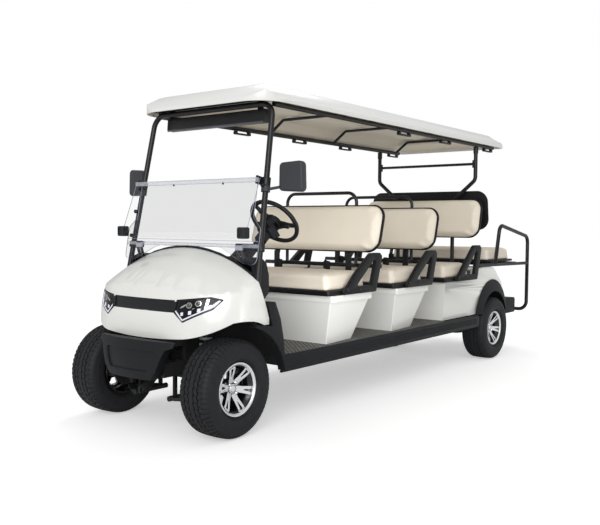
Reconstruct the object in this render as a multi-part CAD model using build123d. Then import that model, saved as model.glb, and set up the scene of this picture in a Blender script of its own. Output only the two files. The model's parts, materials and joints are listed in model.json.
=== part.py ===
"""Eight-seat electric golf cart: three forward bench rows and a rear-facing flip seat.

Millimetres.  +Z is up, -Y is the front of the cart, +X its left side.  The cart is
drawn from a datum under the middle of its cabin, and moved at the end so that its
origin is on the floor under the middle of its whole length.
"""
from build123d import *
import os
from math import cos, radians, sin, tan

# ---------------------------------------------------------------- driving dimensions
WHEELBASE = 3195
FRONT_AXLE_Y = -1800
REAR_AXLE_Y = FRONT_AXLE_Y + WHEELBASE
FRONT_TRACK = 896
REAR_TRACK = 940
TYRE_R = 260
AXLE_Z = TYRE_R

FRONT_END = -2093
REAR_END = 2216
MIDDLE_Y = (FRONT_END + REAR_END) / 2
FLOOR_Z = 396
ROCKER_X = 570
CLEAR = 1.0

FIRST_ROW_Y = -1011
ROW_PITCH = 763
ROWS = [FIRST_ROW_Y + ROW_PITCH * row for row in range(3)]
SEAT_DEPTH = 445
POD_TOP_Z = 690
CUSHION_Z = 722
CUSHION_T = 100
CUSHION_HALF = 530

KINGPIN_X = 300
STEER_ARM = 100
TUBE_R = 16
ROOF_RAIL_X = 462
ROOF_RAIL_Z = 1786
SKIN = 6

PARTS = "parts"


# ---------------------------------------------------------------- shape helpers
def block(x0, x1, y0, y1, z0, z1):
    """A box between two corners."""
    return Pos((x0 + x1) / 2, (y0 + y1) / 2, (z0 + z1) / 2) * Box(x1 - x0, y1 - y0, z1 - z0)


def both(shape):
    """A left-hand shape together with its mirror image on the right."""
    return Part() + [shape, mirror(shape, about=Plane.YZ)]


def outline(corners):
    """A face on XY from corners (u, v, radius), each corner rounded by its radius."""
    points = [Vector(u, v) for u, v, _ in corners]
    starts, middles, ends = [], [], []
    for i, (_, _, radius) in enumerate(corners):
        point = points[i]
        if radius <= 0:
            starts.append(point)
            middles.append(None)
            ends.append(point)
            continue
        before = (points[i - 1] - point).normalized()
        after = (points[(i + 1) % len(points)] - point).normalized()
        half = radians(before.get_angle(after)) / 2
        inward = (before + after).normalized()
        starts.append(point + before * (radius / tan(half)))
        middles.append(point + inward * (radius / sin(half) - radius))
        ends.append(point + after * (radius / tan(half)))
    edges = []
    for i, middle in enumerate(middles):
        if middle is not None:
            edges.append(ThreePointArc(starts[i], middle, ends[i]))
        following = starts[(i + 1) % len(points)]
        if (following - ends[i]).length > 1e-6:
            edges.append(Line(ends[i], following))
    return make_face(edges)


def side_slab(corners, x0, x1):
    """A side outline of (y, z, radius) corners, solid from x0 to x1."""
    return extrude(Plane.YZ.offset(x0) * outline(corners), x1 - x0)


def front_slab(corners, y0, y1):
    """A front outline of (x, z, radius) corners, solid from y0 to y1."""
    return extrude(Plane.XZ.offset(-y1) * outline(corners), y1 - y0)


def plan_slab(corners, z0, z1):
    """A plan outline of (x, y, radius) corners, solid from z0 to z1."""
    return extrude(Plane.XY.offset(z0) * outline(corners), z1 - z0)


def tube(points, radius, bend):
    """A round bar along straight runs joined by tangent bends."""
    path = FilletPolyline(*points, radius=bend)
    return sweep(Plane(origin=path @ 0, z_dir=path % 0) * Circle(radius), path=path)


def rod(a, b, radius):
    """A straight round bar from a to b."""
    axis = Vector(*b) - Vector(*a)
    return extrude(Plane(origin=a, z_dir=axis) * Circle(radius), axis.length)


def disc(x0, x1, y, z, radius):
    """A cylinder along X between x0 and x1."""
    return Pos((x0 + x1) / 2, y, z) * Rot(0, 90, 0) * Cylinder(radius, x1 - x0)


def bar(a, b, width, depth):
    """A flat bar from a to b, its width across the cart."""
    axis = Vector(*b) - Vector(*a)
    place = Plane(origin=a, z_dir=axis, x_dir=(1, 0, 0))
    return extrude(place * Rectangle(width, depth), axis.length)


# ---------------------------------------------------------------- wheels
HUB_BORE = 18.3
SPINDLE_R = 18
SPINDLE_END = 32
HUB_BACK = -16
HUB_FACE = 46
TYRE_HALF = [  # (distance from the mid plane, radius) from bead to tread edge
    (74.5, 128), (78, 143.5), (102.5, 176), (101, 224), (74, TYRE_R),
]
RIM_HALF_OUT = [(86, 133), (86, 141), (79.5, 141), (76, 127)]
RIM_HALF_IN = [(-76, 127), (-79.5, 141), (-86, 141), (-86, 133)]
RIM_WELL = [(-64, 120), (-28, 104), (46, 104), (72, 119)]
SPOKE_PAIRS = 6
SPOKE_LEAN = 8


def tyre_body():
    """One tyre about the X axis."""
    profile = TYRE_HALF + [(-u, r) for u, r in reversed(TYRE_HALF)]
    return revolve(make_face(Polyline(*profile, close=True)), Axis.X)


def rim_body():
    """One alloy rim about the X axis, face towards +X: barrel, hub and split spokes."""
    profile = RIM_HALF_OUT + RIM_HALF_IN + RIM_WELL
    barrel = revolve(make_face(Polyline(*profile, close=True)), Axis.X)
    hub = disc(HUB_BACK, HUB_FACE, 0, 0, 44)
    leg = front_slab([(18, 30, 0), (HUB_FACE, 30, 0), (80, 112, 0), (80, 124, 0), (46, 124, 0)], -7, 7)
    spokes = [
        Rot(360 / SPOKE_PAIRS * pair + lean, 0, 0) * leg
        for pair in range(SPOKE_PAIRS) for lean in (-SPOKE_LEAN, SPOKE_LEAN)
    ]
    return barrel + hub + spokes - disc(HUB_BACK - 4, HUB_FACE - 10, 0, 0, HUB_BORE)


def wheels():
    """The four tyres and rims on their spindles."""
    tyre, rim = tyre_body(), rim_body()
    made = {}
    for name, side, track, axle_y in (
        ("front_left", 1, FRONT_TRACK, FRONT_AXLE_Y),
        ("front_right", -1, FRONT_TRACK, FRONT_AXLE_Y),
        ("rear_left", 1, REAR_TRACK, REAR_AXLE_Y),
        ("rear_right", -1, REAR_TRACK, REAR_AXLE_Y),
    ):
        place = Pos(side * track / 2, axle_y, AXLE_Z) * Rot(0, 0, 0 if side > 0 else 180)
        made["tyre_" + name] = place * tyre
        made["rim_" + name] = place * rim
    return made


# ---------------------------------------------------------------- frame and running gear
RAIL_X = 260
RAIL_HALF_W = 25
RAIL_Z0 = 306
RAIL_Z1 = 382
NOSE_RAIL_X = 165
NOSE_RAIL_FRONT = -2000
RAIL_FRONT = FRONT_AXLE_Y + 430
RAIL_BACK = 2070
CROSS_YS = [RAIL_FRONT, -540, 300, 1120, RAIL_BACK - 40]
OUTRIGGER_YS = [-1440, -620, 150, 850]
FOOTPLATE_UNDER = 462
EYE_Y = -2073
EYE_Z = 246
EYE_R = 11
RACK_Y = FRONT_AXLE_Y + STEER_ARM
RACK_Z = 264


def chassis_frame():
    """The welded frame with its outriggers, spring towers, rack tube and towing eye."""
    main = block(RAIL_X - RAIL_HALF_W, RAIL_X + RAIL_HALF_W, RAIL_FRONT, RAIL_BACK, RAIL_Z0, RAIL_Z1)
    nose = block(
        NOSE_RAIL_X - RAIL_HALF_W, NOSE_RAIL_X + RAIL_HALF_W,
        NOSE_RAIL_FRONT, RAIL_FRONT + 40, RAIL_Z0, RAIL_Z1,
    )
    half = main + nose
    for y in OUTRIGGER_YS:
        inner = NOSE_RAIL_X if y < RAIL_FRONT else RAIL_X
        half += block(inner, 545, y, y + 36, RAIL_Z0 + 26, RAIL_Z1)
    half += block(165, 190, FRONT_AXLE_Y - 45, FRONT_AXLE_Y + 45, RAIL_Z1 - 5, 576)
    half += block(165, 344, FRONT_AXLE_Y - 45, FRONT_AXLE_Y + 45, 568, 576)
    half += block(100, 124, RACK_Y - 12, RACK_Y + 18, RACK_Z, RAIL_Z0)
    half += block(100, 150, RACK_Y - 12, RACK_Y + 18, RAIL_Z0 - 12, RAIL_Z0 + 5)
    half += block(235, 285, 1960, 2000, RAIL_Z1 - 5, FOOTPLATE_UNDER)
    frame = both(half)
    for y in CROSS_YS:
        frame += block(-RAIL_X, RAIL_X, y, y + 36, RAIL_Z0, RAIL_Z1)
    for y in (NOSE_RAIL_FRONT, -1640):
        frame += block(-NOSE_RAIL_X, NOSE_RAIL_X, y, y + 36, RAIL_Z0, RAIL_Z1)
    frame += disc(-130, 130, RACK_Y, RACK_Z, 22)
    frame += side_slab([
        (EYE_Y - 18, EYE_Z - 18, 16), (EYE_Y - 18, EYE_Z + 18, 14), (-2036, 284, 8), (-2006, 295, 0),
        (-1996, 310, 0), (-1966, 310, 0), (-1966, 288, 6), (-2036, EYE_Z - 18, 12),
    ], 92, 102)
    return frame - disc(-140, 140, RACK_Y, RACK_Z, 9.5) - disc(80, 120, EYE_Y, EYE_Z, EYE_R)


SPRING_BOTTOM = 366
SPRING_TOP = 556
SPRING_TURNS = 6


def front_suspension():
    """Lower wishbones on their hangers, and a coil-over leg above each steering knuckle."""
    y = FRONT_AXLE_Y
    arm = plan_slab([(140, y - 112, 10), (176, y - 112, 10), (320, y - 18, 12), (320, y + 18, 12),
                     (176, y + 112, 10), (140, y + 112, 10)], 166, 184)
    arm -= plan_slab([(170, y - 70, 8), (262, y - 10, 5), (262, y + 10, 5), (170, y + 70, 8)], 160, 190)
    arm += rod((140, y - 120, 175), (140, y + 120, 175), 15)
    for end in (-74, 74):
        arm += block(132, 148, y + end - 10, y + end + 10, 175, RAIL_Z0 - 0.5)
    leg = rod((KINGPIN_X, y, 352), (KINGPIN_X, y, 567), 19)
    leg += rod((KINGPIN_X, y, 356), (KINGPIN_X, y, SPRING_BOTTOM), 38)
    leg += rod((KINGPIN_X, y, SPRING_TOP), (KINGPIN_X, y, 567), 38)
    pitch = (SPRING_TOP - SPRING_BOTTOM) / SPRING_TURNS
    for turn in range(SPRING_TURNS):
        middle = SPRING_BOTTOM + pitch * (turn + 0.5)
        leg += Pos(KINGPIN_X, y, middle) * (Cylinder(36, 13) - Cylinder(18, 13))
    return both(arm) + both(leg)


def knuckle(side):
    """A steering knuckle: upright, spindle, brake backing plate and steering arm."""
    y = FRONT_AXLE_Y
    shape = rod((KINGPIN_X, y, 190), (KINGPIN_X, y, 346), 22)
    shape += disc(KINGPIN_X, FRONT_TRACK / 2 + SPINDLE_END, y, AXLE_Z, SPINDLE_R)
    shape += disc(310, 350, y, AXLE_Z, 32) + disc(346, 354, y, AXLE_Z, 88)
    shape += block(KINGPIN_X - 13, KINGPIN_X + 13, y, RACK_Y + 14, 226, 242)
    return shape if side > 0 else Part() + mirror(shape, about=Plane.YZ)


def steering_rack():
    """The sliding rack bar with a ball housing at each end."""
    rack = disc(-KINGPIN_X, KINGPIN_X, RACK_Y, RACK_Z, 9)
    for side in (-1, 1):
        rack += rod((side * KINGPIN_X, RACK_Y, 250), (side * KINGPIN_X, RACK_Y, 278), 14)
    return rack


def rear_axle():
    """The driven axle: tubes, differential, motor, spindles and backing plates."""
    axle = disc(-326, 326, REAR_AXLE_Y, AXLE_Z, 32)
    axle += Pos(30, REAR_AXLE_Y, AXLE_Z) * Sphere(80)
    axle += disc(-190, 10, REAR_AXLE_Y - 150, AXLE_Z + 6, 76)
    axle += block(-20, 60, REAR_AXLE_Y - 180, REAR_AXLE_Y, AXLE_Z - 44, AXLE_Z + 44)
    for side in (-1, 1):
        x0, x1 = sorted((side * 322, side * 332))
        axle += disc(x0, x1, REAR_AXLE_Y, AXLE_Z, 88)
        x0, x1 = sorted((side * 330, side * (REAR_TRACK / 2 + SPINDLE_END)))
        axle += disc(x0, x1, REAR_AXLE_Y, AXLE_Z, SPINDLE_R)
    return axle


LEAVES = [(400, 44), (290, 25), (170, 9)]  # (half length, rise at the tips)


def leaf_springs():
    """A pack of three leaves under each side of the axle, with eyes and hangers."""
    seat = AXLE_Z - 33
    pack = Part()
    for layer, (reach, rise) in enumerate(LEAVES):
        top = seat - 9 * layer
        y0, y1 = REAR_AXLE_Y - reach, REAR_AXLE_Y + reach
        face = make_face([
            ThreePointArc((y0, top + rise), (REAR_AXLE_Y, top), (y1, top + rise)),
            Line((y1, top + rise), (y1, top + rise - 9)),
            ThreePointArc((y1, top + rise - 9), (REAR_AXLE_Y, top - 9), (y0, top + rise - 9)),
            Line((y0, top + rise - 9), (y0, top + rise)),
        ])
        pack += extrude(Plane.YZ.offset(RAIL_X - 22) * face, 44)
    for end in (-400, 400):
        y = REAR_AXLE_Y + end
        pack += disc(RAIL_X - 22, RAIL_X + 22, y, seat + 40, 15)
        pack += block(RAIL_X - 7, RAIL_X + 7, y - 14, y + 14, seat + 40, RAIL_Z0 - 0.5)
    return both(pack)


def battery_pack():
    """The battery, one plain block under the second bench."""
    y = ROWS[1]
    return block(-330, 330, y + 60, y + 310, FLOOR_Z + CLEAR, 610)


# ---------------------------------------------------------------- front body
NOSE_SECTIONS = [  # (z, nose y, (x, y) at the lamp, (x, y) round the corner, (x, y) at the side)
    (430, -2005, (300, -1985), (486, -1890), (566, -1760)),
    (600, -1998, (300, -1976), (484, -1876), (570, -1750)),
    (720, -1988, (300, -1962), (476, -1862), (566, -1735)),
    (820, -1965, (280, -1938), (455, -1838), (552, -1715)),
    (1000, -1920, (260, -1890), (420, -1792), (525, -1690)),
]
HOOD_SECTIONS = [(-2120, 700, 540), (-1975, 793, 590), (-1850, 886, 650), (-1600, 994, 785)]
LOWER_EDGE = [(-2003, 505), (-1914, 556), (-1830, 606), (-1735, 612), (-1639, 584)]
REAR_EDGE = [(-1662, 1100), (-1668, 820), (-1625, 690), (-1586, 574)]
COWL_BACK_Y = -1570


def nose_form(inset, back_y=COWL_BACK_Y):
    """The front body's tapering plan form, drawn in by inset."""
    sections = []
    for z, nose, (lx, ly), (cx, cy), (sx, sy) in NOSE_SECTIONS:
        ly, cx, cy, sx = ly + inset, cx - inset * 0.7, cy + inset * 0.7, sx - inset
        sections.append(Plane.XY.offset(z) * make_face([
            ThreePointArc((-lx, ly), (0, nose + inset), (lx, ly)),
            ThreePointArc((lx, ly), (cx, cy), (sx, sy)),
            Line((sx, sy), (sx + 4, back_y)),
            Line((sx + 4, back_y), (-sx - 4, back_y)),
            Line((-sx - 4, back_y), (-sx, sy)),
            ThreePointArc((-sx, sy), (-cx, cy), (-lx, ly)),
        ]))
    return loft(sections)


def hood_form(drop, base_z):
    """The crowned hood, lowered by drop, above base_z."""
    sections = []
    for y, crown, edge in HOOD_SECTIONS:
        sections.append(Plane.XZ.offset(-y) * make_face([
            Line((-640, base_z), (640, base_z)),
            Line((640, base_z), (640, edge - drop)),
            ThreePointArc((640, edge - drop), (0, crown - drop), (-640, edge - drop)),
            Line((-640, edge - drop), (-640, base_z)),
        ]))
    return loft(sections)


def side_cut(face, x_half=700):
    """A cutting slab across the cart from a ready (y, z) face."""
    return extrude(Plane.YZ.offset(-x_half) * face, 2 * x_half)


def cowl_trim():
    """What is cut from under and behind the front body: its lower edge and its rear edge."""
    a, b, c, d, e = LOWER_EDGE
    under = make_face([
        Line((-2300, 300), (-2300, a[1])), Line((-2300, a[1]), a), ThreePointArc(a, b, c),
        ThreePointArc(c, d, e), Line(e, (-1400, e[1])), Line((-1400, e[1]), (-1400, 300)),
        Line((-1400, 300), (-2300, 300)),
    ])
    rear = [(y, z, 0) for y, z in REAR_EDGE]
    behind = outline([*rear, (-1400, 574, 0), (-1400, 1100, 0)])
    return side_cut(under) + side_cut(behind)


LAMP = [(240, 652, 4), (252, 722, 6), (430, 742, 8), (484, 728, 6), (446, 676, 8), (300, 604, 8)]
LIGHT_BAR_HALF = 236
LIGHT_BAR_Z = (654, 719)


def lamp_zone(gap):
    """The headlamp's front outline as a slab, drawn in by gap."""
    middle_x, middle_z = 362, 680
    corners = [
        (middle_x + (x - middle_x) * (1 - gap / 122), middle_z + (z - middle_z) * (1 - gap / 70), r)
        for x, z, r in LAMP
    ]
    return front_slab(corners, -2200, -1770)


def front_cowl():
    """The glossy front body shell, open for the lamps, the light bar and the wheels."""
    outer = nose_form(0) & hood_form(0, 420)
    inner = nose_form(SKIN, COWL_BACK_Y + 40) & hood_form(SKIN, 400)
    z0, z1 = LIGHT_BAR_Z
    half = LIGHT_BAR_HALF + 6
    bar_zone = front_slab([(-half, z0, 0), (half, z0, 0), (half, z1, 0), (-half, z1, 0)], -2200, -1900)
    return outer - inner - cowl_trim() - both(lamp_zone(0)) - bar_zone


def front_lamps():
    """Two headlamp units and the light bar between them, flush in the front body."""
    z0, z1 = LIGHT_BAR_Z
    ends = LIGHT_BAR_HALF - 2
    corners = [(-ends, z0 + 1, 4), (ends, z0 + 1, 4), (ends, z1 - 1, 4), (-ends, z1 - 1, 4)]
    middle = front_slab(corners, -2200, -1900)
    face = nose_form(1.5) & hood_form(1.5, 420)
    lamps = both((face - nose_form(50)) & lamp_zone(2))
    return lamps + ((nose_form(3) - nose_form(24)) & middle)


BUMPER_OUTLINE = [
    (0, 504, 0), (296, 504, 10), (288, 478, 8), (246, 462, 12), (202, 352, 24), (164, 300, 20), (0, 300, 0),
]
PANEL_OUTLINE = [(-192, 454, 10), (192, 454, 10), (150, 346, 12), (-150, 346, 12)]
BUMPER_SECTIONS = [(280, FRONT_END + 14), (400, FRONT_END), (520, FRONT_END + 30)]


def mirrored_outline(half):
    """A closed outline from its left half, listed from the top middle to the bottom middle."""
    right = [(-x, z, r) for x, z, r in reversed(half[1:-1])]
    return [*half[1:-1], *right]


def bumper_form(inset):
    """The bumper's bowed plan form, drawn in by inset."""
    sections = []
    for z, nose in BUMPER_SECTIONS:
        end = nose + 62 + inset
        sections.append(Plane.XY.offset(z) * make_face([
            ThreePointArc((-340, end), (0, nose + inset), (340, end)),
            Line((340, end), (340, -1940)), Line((340, -1940), (-340, -1940)),
            Line((-340, -1940), (-340, end)),
        ]))
    return loft(sections)


def front_bumper():
    """The black bumper: a bowed shell with a sunk panel in a raised frame."""
    ring = mirrored_outline(BUMPER_OUTLINE)
    inner = [(x * 0.95, 402 + (z - 402) * 0.9, r) for x, z, r in ring]
    shell = bumper_form(0) & front_slab(ring, -2200, -2012)
    shell -= bumper_form(14) & front_slab(inner, -2200, -1990)
    shell -= (bumper_form(-20) - bumper_form(7)) & front_slab(PANEL_OUTLINE, -2200, -1990)
    mounts = block(NOSE_RAIL_X - 20, NOSE_RAIL_X + 20, -2074, NOSE_RAIL_FRONT - 0.5, 330, 372)
    return shell + both(mounts)


TRIM_X = (536, 588)


def strut_x(z):
    """How far out the front strut stands at height z."""
    return 504 - 0.051 * (z - 1200)


def strut_y(z):
    """Where the front strut stands along the cart at height z."""
    return -1567 + 0.1875 * (z - 1200)


def strut_point(z):
    """A point on the front strut's axis at height z."""
    return (strut_x(z), strut_y(z), z)


def strut_sleeve(z, half_height, radius):
    """A sleeve round the front strut at height z."""
    sleeve = rod(strut_point(z - half_height), strut_point(z + half_height), radius)
    return sleeve - rod(strut_point(z - 2 * half_height), strut_point(z + 2 * half_height), TUBE_R + 0.3)


def side_trims():
    """The black moulding behind each front wheel, from the strut's foot down to the rocker."""
    shape = side_slab([
        (-1700, 600, 4), (-1632, 700, 10), (-1566, 706, 16), (-1520, 610, 30), (-1488, 480, 20),
        (-1476, 300, 6), (-1600, 300, 0), (-1800, 480, 0),
    ], *TRIM_X)
    shape -= disc(500, 620, FRONT_AXLE_Y, AXLE_Z, 328)
    shape -= side_slab([(-1800, 760, 0), (-1640, 760, 0), (-1584, 574, 0), (-1645, 583, 0), (-1800, 600, 0)],
                       555, 620)
    hollow = side_slab([
        (-1655, 600, 4), (-1612, 692, 10), (-1572, 696, 12), (-1530, 610, 26), (-1500, 480, 16),
        (-1488, 310, 4), (-1600, 310, 0), (-1800, 480, 0),
    ], TRIM_X[0] - 1, TRIM_X[1] - 5)
    hollow -= disc(500, 620, FRONT_AXLE_Y, AXLE_Z, 336)
    clear = rod(strut_point(600), strut_point(800), TUBE_R + 3)
    return both(shape - hollow - clear)


# ---------------------------------------------------------------- struts, windscreen, mirrors
STRUT_FOOT_Z = 640
STRUT_TOP_Z = ROOF_RAIL_Z


def front_strut():
    """The one-piece front hoop with a flat foot bar down to the frame on each side."""
    foot, top = STRUT_FOOT_Z, STRUT_TOP_Z
    hoop = tube([
        (strut_x(foot), strut_y(foot), foot), (strut_x(top), strut_y(top), top),
        (-strut_x(top), strut_y(top), top), (-strut_x(foot), strut_y(foot), foot),
    ], TUBE_R, 80)
    feet = bar((526, strut_y(foot) - 4, foot + 30), (526, -1428, RAIL_Z1 + 14), 14, 34)
    feet += block(512, 540, -1442, -1408, RAIL_Z1 + 0.5, RAIL_Z1 + 14)
    return hoop + both(feet)


SCREEN_GAP = 34
SCREEN_HINGE_Z = 1372
SCREEN_HALF = 470
FOLD_BOTTOM = (-1722, 1016)
LOWER_PANE_HALF = 532
LOWER_PANE_FOOT = 888
LOWER_PANE_CREST = 1004
LOWER_PANE_NECK = 1150
PANE = 5
SCREEN_LEAN = Rot(-10.62, 0, 0)
CLAMPS = [  # (height, half height, inner end of the arm, how far the arm reaches in front of the strut)
    (990, 18, 404, SCREEN_GAP - 0.8), (SCREEN_HINGE_Z - 23, 22, SCREEN_HALF + 2, 62),
]


def windscreen():
    """The clear two-piece screen, its upper half folded down in front of the lower half."""
    high_y = strut_y(SCREEN_HINGE_Z) - SCREEN_GAP
    neck = LOWER_PANE_NECK - SCREEN_HINGE_Z
    foot = LOWER_PANE_FOOT - SCREEN_HINGE_Z
    crest = LOWER_PANE_CREST - SCREEN_HINGE_Z
    lower = front_slab([
        (SCREEN_HALF, 0, 10), (SCREEN_HALF, neck, 30), (LOWER_PANE_HALF, neck - 60, 30),
        (LOWER_PANE_HALF, foot, 40), (LOWER_PANE_HALF - 90, foot + 8, 60), (250, crest - 18, 200),
        (-250, crest - 18, 200), (-LOWER_PANE_HALF + 90, foot + 8, 60), (-LOWER_PANE_HALF, foot, 40),
        (-LOWER_PANE_HALF, neck - 60, 30), (-SCREEN_HALF, neck, 30), (-SCREEN_HALF, 0, 10),
    ], -PANE, 0)
    lower = Pos(0, high_y, SCREEN_HINGE_Z) * SCREEN_LEAN * lower
    top_y = high_y - 22
    fold_y, fold_z = FOLD_BOTTOM
    upper = side_slab([
        (fold_y, fold_z, 0), (top_y, SCREEN_HINGE_Z - 6, 0), (top_y - PANE, SCREEN_HINGE_Z - 6, 0),
        (fold_y - PANE, fold_z, 0),
    ], -SCREEN_HALF, SCREEN_HALF)
    return Part() + [lower, upper]


def windscreen_clamps():
    """Black strut clamps that hold the screen at its hinge line and at its lower edge."""
    made = Part()
    for z, half_height, inner_x, front in CLAMPS:
        x, y = strut_x(z), strut_y(z)
        arm = block(inner_x, x - 14, -front, -10, -half_height, half_height)
        made += strut_sleeve(z, half_height, 24) + Pos(0, y, z) * SCREEN_LEAN * arm
    return both(made)


MIRROR_Z = 1309
MIRROR_PLACE = (626, -1478, 1376)
MIRROR_TURN = 10
MIRROR_HEAD = [(-73, -76, 22), (-71, 76, 24), (71, 86, 26), (77, -84, 26)]
MIRROR_GLASS = [(-64, -66, 15), (-62, 66, 18), (62, 75, 20), (67, -74, 20)]


def mirrors():
    """A door mirror on each strut: clamp, bent arm and boxed head, turned towards the driver."""
    x, y = strut_x(MIRROR_Z), strut_y(MIRROR_Z)
    clamp = strut_sleeve(MIRROR_Z, 15, 25)
    arm = rod((x + 22, y + 4, MIRROR_Z), (592, -1466, 1330), 8)
    head = front_slab(MIRROR_HEAD, -22, 24)
    head = fillet(head.edges().group_by(Axis.Y)[0], 14)
    glass = front_slab(MIRROR_GLASS, 20, 40)
    return both(clamp + arm + Pos(*MIRROR_PLACE) * Rot(0, 0, MIRROR_TURN) * (head - glass))


# ---------------------------------------------------------------- roof
ROOF_HALF = 525
ROOF_FRONT = -1583
ROOF_REAR = 1622
ROOF_LIP_Z = 1789
ROOF_TOP_Z = 1917
ROOF_CROSS = [  # half of the roof's cross section: (x, z, rounding)
    (ROOF_HALF, 1810, 4), (514, 1814, 3), (500, 1838, 20), (436, 1892, 40), (318, 1912, 18),
    (262, 1900, 12), (196, 1900, 12), (140, 1914, 14), (62, 1908, 10),
]
BOW_YS = [-360, 445, 1446]
RAIL_START_Y = -1436
RAIL_END_Y = 1500
GRIP_YS = [-6, 622, 1396]
FRONT_GRIP_Y = -668


def roof_form(inset, lip_z):
    """The moulded roof as a solid, drawn in by inset and closed at lip_z."""
    right = [(x - inset * 0.9, z - inset, r) for x, z, r in ROOF_CROSS]
    edge = ROOF_HALF - inset * 0.9
    cross = [(edge, lip_z, 0), *right, *[(-x, z, r) for x, z, r in reversed(right)], (-edge, lip_z, 0)]
    front, rear = ROOF_FRONT + inset, ROOF_REAR - inset
    top = ROOF_TOP_Z - inset
    side = [
        (front, lip_z, 0), (front, 1808, 6), (front + 24, 1830 - inset, 24), (front + 130, 1902 - inset, 80),
        (front + 400, top, 0), (rear - 400, top, 0), (rear - 170, top - 6, 30),
        (rear - 130, top - 54, 24), (rear - 50, top - 76, 20), (rear, 1822 - inset, 10), (rear, lip_z, 0),
    ]
    plan = [(-edge, front, 170), (edge, front, 170), (edge, rear, 70), (-edge, rear, 70)]
    return front_slab(cross, -1700, 1700) & side_slab(side, -600, 600) & plan_slab(plan, lip_z, 2000)


def roof_panel():
    """The roof moulding, a shell open below."""
    return roof_form(0, ROOF_LIP_Z) - roof_form(SKIN, ROOF_LIP_Z - 5)


def grab_handle(x, y):
    """A flat grab handle hung under the side rail at x."""
    z = ROOF_RAIL_Z
    loop = side_slab([(y - 86, 1746, 9), (y + 86, 1746, 9), (y + 70, z, 0), (y - 70, z, 0)], x - 11, x + 11)
    return loop - side_slab([(y - 62, 1757, 4), (y + 62, 1757, 4), (y + 54, 1776, 0), (y - 54, 1776, 0)],
                            x - 20, x + 20)


def roof_frame():
    """Side rails, front header, three bows and the passengers' grab handles."""
    x, z = ROOF_RAIL_X, ROOF_RAIL_Z
    half = rod((x, RAIL_START_Y, z), (x, RAIL_END_Y, z), TUBE_R)
    half += block(x - 14, x + 14, RAIL_START_Y + 2, RAIL_START_Y + 34, z, 1816)
    for y in GRIP_YS:
        half += grab_handle(x, y)
    frame = both(half) + grab_handle(-x, FRONT_GRIP_Y)
    frame += block(-x, x, -1490, RAIL_START_Y + 20, 1804, 1816)
    for y in BOW_YS:
        frame += tube([(-x, y, z), (-340, y, 1878), (340, y, 1878), (x, y, z)], 11, 40)
    return frame


def overhead_bar():
    """The long speaker bar under the front of the roof, on two end brackets."""
    body = side_slab([
        (-1442, 1694, 6), (-1388, 1688, 8), (-1378, 1716, 12), (-1384, 1764, 6), (-1436, 1766, 8),
    ], -392, 392)
    return body + both(block(340, 376, -1434, -1420, 1750, 1803.5))


# ---------------------------------------------------------------- cabin
def floor_panel():
    """The cabin floor and its upturned toe board."""
    floor = block(-545, 545, -1400, 525, RAIL_Z1 + CLEAR, FLOOR_Z)
    floor += block(-505, 505, -1445, -1399, RAIL_Z1 + CLEAR, FLOOR_Z)
    toe_base = FLOOR_Z - 6
    toe = side_slab([(-1445, toe_base, 0), (-1437, toe_base, 0), (-1524, 690, 0), (-1532, 690, 0)], -505, 505)
    return floor + toe


def rockers():
    """The ribbed black sill along each side, capped at the rear wheel."""
    profile = [(546, 303, 3), (564, 303, 6), (ROCKER_X, 330, 8), (ROCKER_X, 388, 8), (560, FLOOR_Z + 3, 5),
               (548, FLOOR_Z + 3, 0), (548, FLOOR_Z - 20, 0), (554, 315, 0), (546, 315, 0)]
    panel = front_slab(profile, -1474, 1060)
    for z in (332, 350, 368):
        panel -= block(ROCKER_X - 1.5, ROCKER_X + 5, -1480, 1010, z, z + 6)
    return both(panel)


def dashboard():
    """The dash moulding behind the cowl's crest, with two open trays."""
    outer = side_slab([(-1640, 640, 0), (-1640, 918, 6), (-1572, 942, 30), (-1524, 908, 20), (-1502, 840, 40),
                       (-1500, 745, 30), (-1560, 690, 10), (-1560, 640, 0)], -488, 488)
    inner = side_slab([(-1650, 630, 0), (-1650, 912, 0), (-1574, 936, 26), (-1529, 904, 16), (-1508, 840, 34),
                       (-1506, 748, 24), (-1566, 693, 8), (-1566, 630, 0)], -482, 482)
    shell = outer - inner
    for x in (-250, 90):
        tray = [(-1516, 790, 6), (-1480, 790, 0), (-1480, 862, 0), (-1516, 862, 6)]
        shell -= side_slab(tray, x - 110, x + 110)
    return shell - column_rod(TUBE_R + 8, 250, 460)


WHEEL_CENTRE = (290, -1218, 1136)
COLUMN_RAKE = 41
STEERING_WHEEL_R = 151


def column_point(distance):
    """A point on the steering column's axis, at a distance in front of the wheel."""
    x, y, z = WHEEL_CENTRE
    return (x, y - cos(radians(COLUMN_RAKE)) * distance, z - sin(radians(COLUMN_RAKE)) * distance)


def column_rod(radius, near, far):
    """A round bar on the steering column's axis."""
    return rod(column_point(near), column_point(far), radius)


def steering_column():
    """The column's shroud and tube, with a stalk on the left."""
    column = column_rod(23, 70, 430) + column_rod(36, 44, 170)
    x, y, z = column_point(80)
    column += rod((x, y, z), (x + 130, y + 10, z + 20), 5)
    return column - column_rod(11.3, 30, 100)


def steering_wheel():
    """The steering wheel with three spokes, its hub shaft running in the column."""
    wheel = Torus(STEERING_WHEEL_R, 13)
    wheel += Pos(0, 0, -8) * Cylinder(46, 34)
    for turn in (0, 120, 240):
        spoke = Pos(0, -95, -6) * Box(34, 140, 12)
        wheel += Rot(0, 0, turn) * spoke
    wheel += Pos(0, 0, -55) * Cylinder(11, 70)
    return Plane(origin=WHEEL_CENTRE, x_dir=(1, 0, 0),
                 z_dir=(0, cos(radians(COLUMN_RAKE)), sin(radians(COLUMN_RAKE)))) * wheel


def pedals():
    """The brake and accelerator pads on arms from the toe board."""
    made = Part()
    for x, width in ((200, 60), (330, 90)):
        pad = Pos(x, -1392, 505) * Rot(-62, 0, 0) * Box(width, 84, 10)
        arm = rod((x, -1396, 508), (x, -1462, 540), 8)
        made += pad + arm
    return made


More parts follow.
